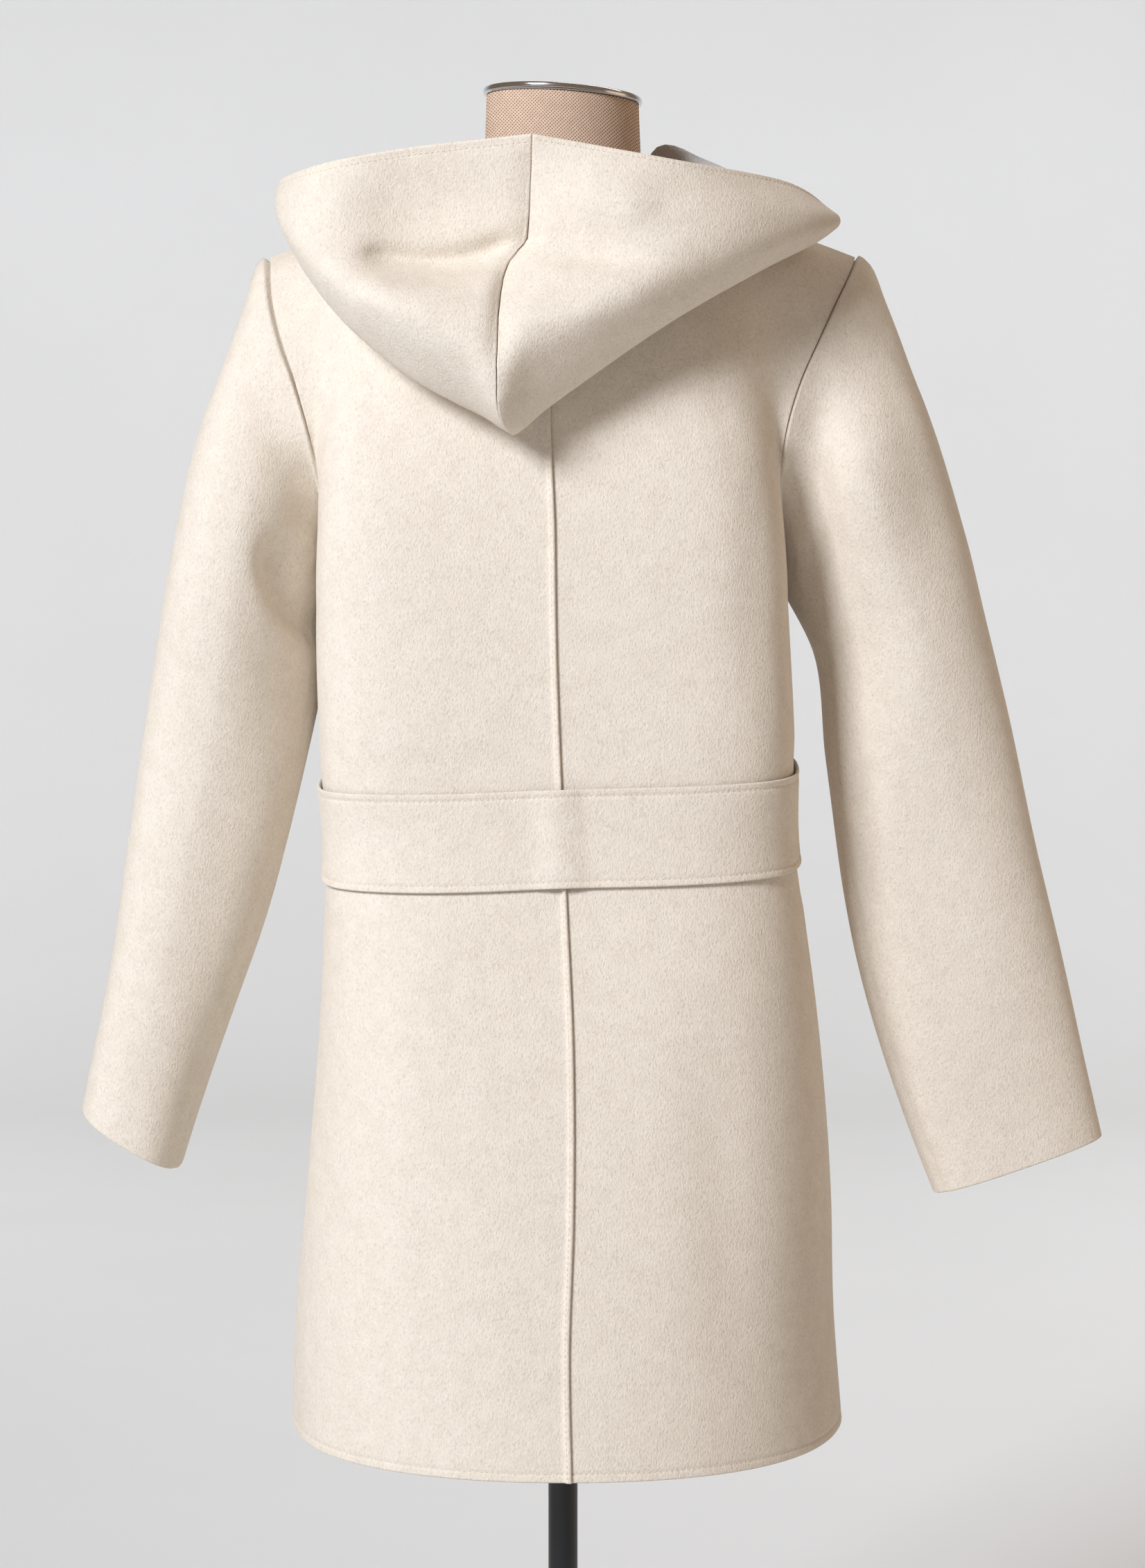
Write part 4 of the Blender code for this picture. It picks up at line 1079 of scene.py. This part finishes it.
def black_enamel():
    """Stoved black enamel on steel: a near-black skin with a soft gloss and a slight orange peel."""
    material, tree, shader, place = new_material("stoved_black_enamel")
    peel = add_node(tree, "ShaderNodeTexNoise", {"Vector": place, "Scale": 1 / 0.0025, "Detail": 2.0})
    dust = add_node(tree, "ShaderNodeTexNoise", {"Vector": place, "Scale": 1 / 0.03, "Detail": 5.0})
    mixed = add_node(tree, "ShaderNodeMix", {
        0: dust.outputs[0], 6: hex_colour("#111113"), 7: hex_colour("#1D1E21")}, data_type="RGBA")
    bump = add_node(tree, "ShaderNodeBump", {
        "Height": peel.outputs[0], "Strength": 0.08, "Distance": 0.0003})
    fill(tree, shader, {"Base Color": mixed.outputs[2], "Normal": bump.outputs[0], "Roughness": 0.32})
    return material


def studio_paper():
    """Seamless background paper: matt and pale grey, with a faint broad mottle."""
    material, tree, shader, place = new_material("seamless_grey_paper")
    mottle = add_node(tree, "ShaderNodeTexNoise", {"Vector": place, "Scale": 1 / 0.4, "Detail": 3.0})
    mixed = add_node(tree, "ShaderNodeMix", {
        0: mottle.outputs[0], 6: hex_colour("#DADDDF"), 7: hex_colour("#DEE1E3")}, data_type="RGBA")
    fill(tree, shader, {"Base Color": mixed.outputs[2], "Roughness": 1.0, "Specular IOR Level": 0.0})
    return material


FACE_WOOL = felted_wool("felted_wool_melange_face", "#EAE0D2", "#E1D6C7", "#BDB2A3", "#F3E7D6", 0.48)
REVERSE_WOOL = felted_wool("felted_wool_grey_reverse", "#C8C7C6", "#BBBAB9", "#A09F9F", "#D4D3D1", 0.45)
THREAD = spun_thread()
TWILL = twill_canvas()
CHROME = polished_chrome()
ENAMEL = black_enamel()
PAPER = studio_paper()


def stitch_row(path, normals):
    """Points and faces of a row of sunk stitches along a path."""
    along = np.concatenate([[0.0], np.cumsum(np.linalg.norm(np.diff(path, axis=0), axis=-1))])
    starts = np.arange(STITCH_PITCH, along[-1] - STITCH_PITCH, STITCH_PITCH)
    # Places along one stitch in lengths from its middle, and its thickness and lift there in thread radii
    shares = np.array([-0.5, -0.34, 0.0, 0.34, 0.5])
    thick = np.array([0.35, 0.9, 1.0, 0.9, 0.35])
    lift = np.array([-1.3, -0.2, 0.25, -0.2, -1.3])
    turns = np.linspace(0.0, 2 * np.pi, STITCH_SIDES, endpoint=False)
    places = (starts[:, None] + shares * STITCH_LENGTH).ravel()
    centre = np.stack([np.interp(places, along, path[:, axis]) for axis in range(3)], axis=-1)
    normal = unit(np.stack([np.interp(places, along, normals[:, axis]) for axis in range(3)], axis=-1))
    ahead = unit(np.gradient(centre, axis=0))
    across = unit(np.cross(normal, ahead))
    size = np.tile(thick, len(starts)) * STITCH_RADIUS
    centre = centre + normal * (np.tile(lift, len(starts)) * STITCH_RADIUS)[:, None]
    rings = (
        centre[:, None]
        + across[:, None] * np.cos(turns)[:, None] * size[:, None, None]
        + normal[:, None] * np.sin(turns)[:, None] * size[:, None, None]
    )
    points = rings.reshape(-1, 3)
    faces = []
    per_stitch = len(shares) * len(turns)
    for stitch in range(len(starts)):
        first = stitch * per_stitch
        faces += quads(len(shares), len(turns), True, first).tolist()
        faces.append(list(range(first, first + len(turns)))[::-1])
        faces.append(list(range(first + per_stitch - len(turns), first + per_stitch)))
    return points, faces


def stitches(name, rows):
    """One piece of thread for several rows of stitching."""
    points = []
    faces = []
    count = 0
    for path, normals in rows:
        row_points, row_faces = stitch_row(path, normals)
        points.append(row_points)
        faces += [[corner + count for corner in face] for face in row_faces]
        count += len(row_points)
    obj = new_piece(name, np.concatenate(points), faces, (THREAD,))


def line_at(shape, axis, distance, start=True):
    """Points and normals of the line of a shape's grid at a distance in from its start or its end."""
    grid, normals = shape[:2]
    lengths = run(grid, axis) if start else from_end(grid, axis)
    index = int(np.abs(lengths.mean(axis=1 - axis) - distance).argmin())
    return np.take(grid, index, axis=axis), np.take(normals, index, axis=axis)


def add_coat():
    """Every cut piece of the coat. The left back laps the right back, and the right front laps the left."""
    laps = {
        ("back", -1): BACK_LAP,
        ("back", 1): -LAP_CLEAR,
        ("front", -1): -LAP_CLEAR,
        ("front", 1): FRONT_LAP,
    }
    pieces = {}
    hood_rows = []
    hem_rows = []
    lap_rows = []
    for side, name, sleeve_sections, hood_sections, creases in (
        (-1, "left", SLEEVE_LEFT, HOOD_LEFT, SLEEVE_LEFT_CREASES),
        (1, "right", SLEEVE_RIGHT, HOOD_RIGHT, SLEEVE_RIGHT_CREASES),
    ):
        bases = {face: panel_base(face, side, laps[face, side]) for face in ("back", "front")}
        for face in ("back", "front"):
            shape = panel(face, side, laps[face, side])
            pieces[face + "_" + name] = cloth_piece(face + "_" + name, *shape, flip=side * facing(face) > 0)
            hem_rows.append(line_at(shape, 0, STITCH_IN_HEM))
            if laps[face, side] > 0:
                lap_rows.append(line_at(shape, 1, STITCH_IN_LAP[face]))
        armhole = armhole_ring(bases["back"][0], bases["front"][0])
        armhole_normals = armhole_ring(bases["back"][1], bases["front"][1])
        shape = sleeve(side, sleeve_sections, armhole, armhole_normals, creases)
        pieces["sleeve_" + name] = cloth_piece("sleeve_" + name, *shape, flip=side > 0, ring=True)
        leads = {face: len(bases[face][2]) - PANEL_COLUMNS for face in bases}
        neck = neckline(bases["back"][0], bases["front"][0], leads["back"] - 1, leads["front"])
        neck_normals = neckline(bases["back"][1], bases["front"][1], leads["back"] - 1, leads["front"])
        shape = hood(side, hood_sections, neck, neck_normals)
        pieces["hood_" + name] = cloth_piece("hood_" + name, *shape, flip=side > 0)
        hood_rows.append(line_at(shape, 0, STITCH_IN_HOOD, start=False))
    shape = belt()
    pieces["belt_back"] = cloth_piece("belt_back", *shape, flip=True)
    belt_rows = [line_at(shape, 0, STITCH_IN_BELT, start) for start in (True, False)]
    for name, obj in pieces.items():
        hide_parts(name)
    stitches("stitches_hood_edge", hood_rows)
    stitches("stitches_hem", hem_rows)
    stitches("stitches_laps", lap_rows)
    stitches("stitches_belt", belt_rows)


def rings_piece(name, rings, material, node):
    """A closed piece through rings of points, standing for a solid of the dress form."""
    count, sides = rings.shape[:2]
    ends = np.array([rings[0].mean(axis=0), rings[-1].mean(axis=0)])
    points = np.concatenate([rings.reshape(-1, 3), ends])
    faces = quads(count, sides, True, 0).tolist()
    for side in range(sides):
        faces.append([count * sides, (side + 1) % sides, side])
        top = (count - 1) * sides
        faces.append([count * sides + 1, top + side, top + (side + 1) % sides])
    obj = new_piece(name, points, faces, (material,))
    obj.data.set_sharp_from_angle(angle=SHARP_EDGE)
    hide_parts(node)


def turned(profile, sides):
    """Rings about the pole's axis from a profile of radius and height."""
    angles = np.linspace(0.0, 2 * np.pi, sides, endpoint=False)
    rings = [
        np.stack([radius * np.cos(angles), radius * np.sin(angles), np.full(sides, height)], axis=-1)
        for radius, height in profile
    ]
    return np.array(rings)


def disc_profile(radius, low, high, edge):
    """Radius and height round the edge of a disc whose rims are rounded by edge."""
    steps = np.linspace(0.0, np.pi / 2, ROUND_STEPS)
    lower = [(radius - edge + edge * np.sin(a), low + edge - edge * np.cos(a)) for a in steps]
    upper = [(radius - edge + edge * np.cos(a), high - edge + edge * np.sin(a)) for a in steps]
    return lower + upper


def tilted(rings, low):
    """Rings with everything above a height sheared to the slope of the cap."""
    out = rings.copy()
    out[..., 2] += CAP_TILT * out[..., 0] * np.clip((rings[..., 2] - low) / TILT_REACH, 0.0, 1.0)
    return out


def add_form():
    """The dress form: torso with its cloth-covered neck, metal cap, pole and base."""
    angles = np.linspace(0.0, 2 * np.pi, TURNED_SIDES, endpoint=False)
    heights = np.unique(np.concatenate([
        TORSO["height"], np.arange(TORSO["height"][0], TORSO["height"][-1], TORSO_STEP),
    ]))
    at = {name: np.interp(heights, TORSO["height"], column) for name, column in TORSO.items()}
    rings = []
    for row, height in enumerate(heights):
        depth = np.where(np.cos(angles) > 0, at["back"][row], at["front"][row])
        x, y = rounded(at["half_width"][row], depth, angles, at["squareness"][row])
        rings.append(np.stack([x, -y, np.full(TURNED_SIDES, height)], axis=-1))
    neck_top = TORSO["height"][-1]
    torso = tilted(np.array(rings), neck_top - TILT_BELOW)
    rings_piece("form_cloth_torso", torso, TWILL, "form_torso")
    cap_low = neck_top + SEAM_GAP
    cap = turned(disc_profile(CAP_RADIUS, cap_low, cap_low + CAP_THICKNESS, CAP_ROUND), TURNED_SIDES)
    rings_piece("form_neck_cap", tilted(cap, 0.0), CHROME, "neck_cap")
    pole_top = TORSO["height"][0] - SEAM_GAP
    pole = [(POLE_RADIUS, BASE_THICKNESS + SEAM_GAP), (POLE_RADIUS, pole_top)]
    rings_piece("stand_pole", turned(pole, TURNED_SIDES // 2), ENAMEL, "pole")
    base = disc_profile(BASE_RADIUS, 0.0, BASE_THICKNESS, BASE_ROUND)
    rings_piece("stand_base", turned(base, TURNED_SIDES), ENAMEL, "base")


def add_backdrop():
    """Seamless paper that runs from the floor up the wall in one sweep."""
    turns = np.linspace(0.0, np.pi / 2, PAPER_STEPS)
    profile = [(PAPER_START, 0.0)]
    for turn in turns:
        y = PAPER_WALL - PAPER_BEND + PAPER_BEND * np.sin(turn)
        profile.append((y, PAPER_BEND - PAPER_BEND * np.cos(turn)))
    profile.append((PAPER_WALL, PAPER_TOP))
    edges = (-PAPER_HALF_WIDTH, PAPER_HALF_WIDTH)
    points = np.array([(x, y, z) for y, z in profile for x in edges])
    faces = [[2 * i, 2 * i + 1, 2 * i + 3, 2 * i + 2] for i in range(len(profile) - 1)]
    mesh = bpy.data.meshes.new("backdrop")
    mesh.from_pydata(points.tolist(), [], faces)
    mesh.materials.append(PAPER)
    mesh.polygons.foreach_set("use_smooth", np.ones(len(mesh.polygons), bool))
    obj = bpy.data.objects.new("backdrop", mesh)
    bpy.context.collection.objects.link(obj)


def add_light(name, place, target, size, power, colour):
    """A soft square light aimed at a point."""
    light = bpy.data.lights.new(name, "AREA")
    light.size = size
    light.energy = power
    light.color = hex_colour(colour)[:3]
    obj = bpy.data.objects.new(name, light)
    bpy.context.collection.objects.link(obj)
    direction = unit(np.array(target) - np.array(place))
    obj.location = place
    pitch = np.arccos(-direction[2])
    obj.rotation_euler = (pitch, 0.0, np.arctan2(direction[1], direction[0]) - np.pi / 2)


def add_studio():
    """A soft key light from the left, a weak warm fill, light on the paper, a dim room and the camera."""
    for name, row in LIGHTS.items():
        add_light(name, *row)
    world = bpy.data.worlds.new("studio")
    world.use_nodes = True
    background = world.node_tree.nodes["Background"]
    fill(world.node_tree, background, {"Color": hex_colour(ROOM_COLOUR), "Strength": ROOM_STRENGTH})
    bpy.context.scene.world = world
    bpy.context.scene.view_settings.view_transform = "Standard"
    camera = bpy.data.cameras.new("camera")
    camera.lens = CAMERA_LENS
    camera.sensor_width = CAMERA_SENSOR
    obj = bpy.data.objects.new("camera", camera)
    bpy.context.collection.objects.link(obj)
    obj.location = CAMERA_PLACE
    obj.rotation_euler = (np.radians(90 - CAMERA_DOWN), 0.0, 0.0)
    bpy.context.scene.camera = obj


add_form()
add_coat()
add_backdrop()
add_studio()
bpy.context.view_layer.update()
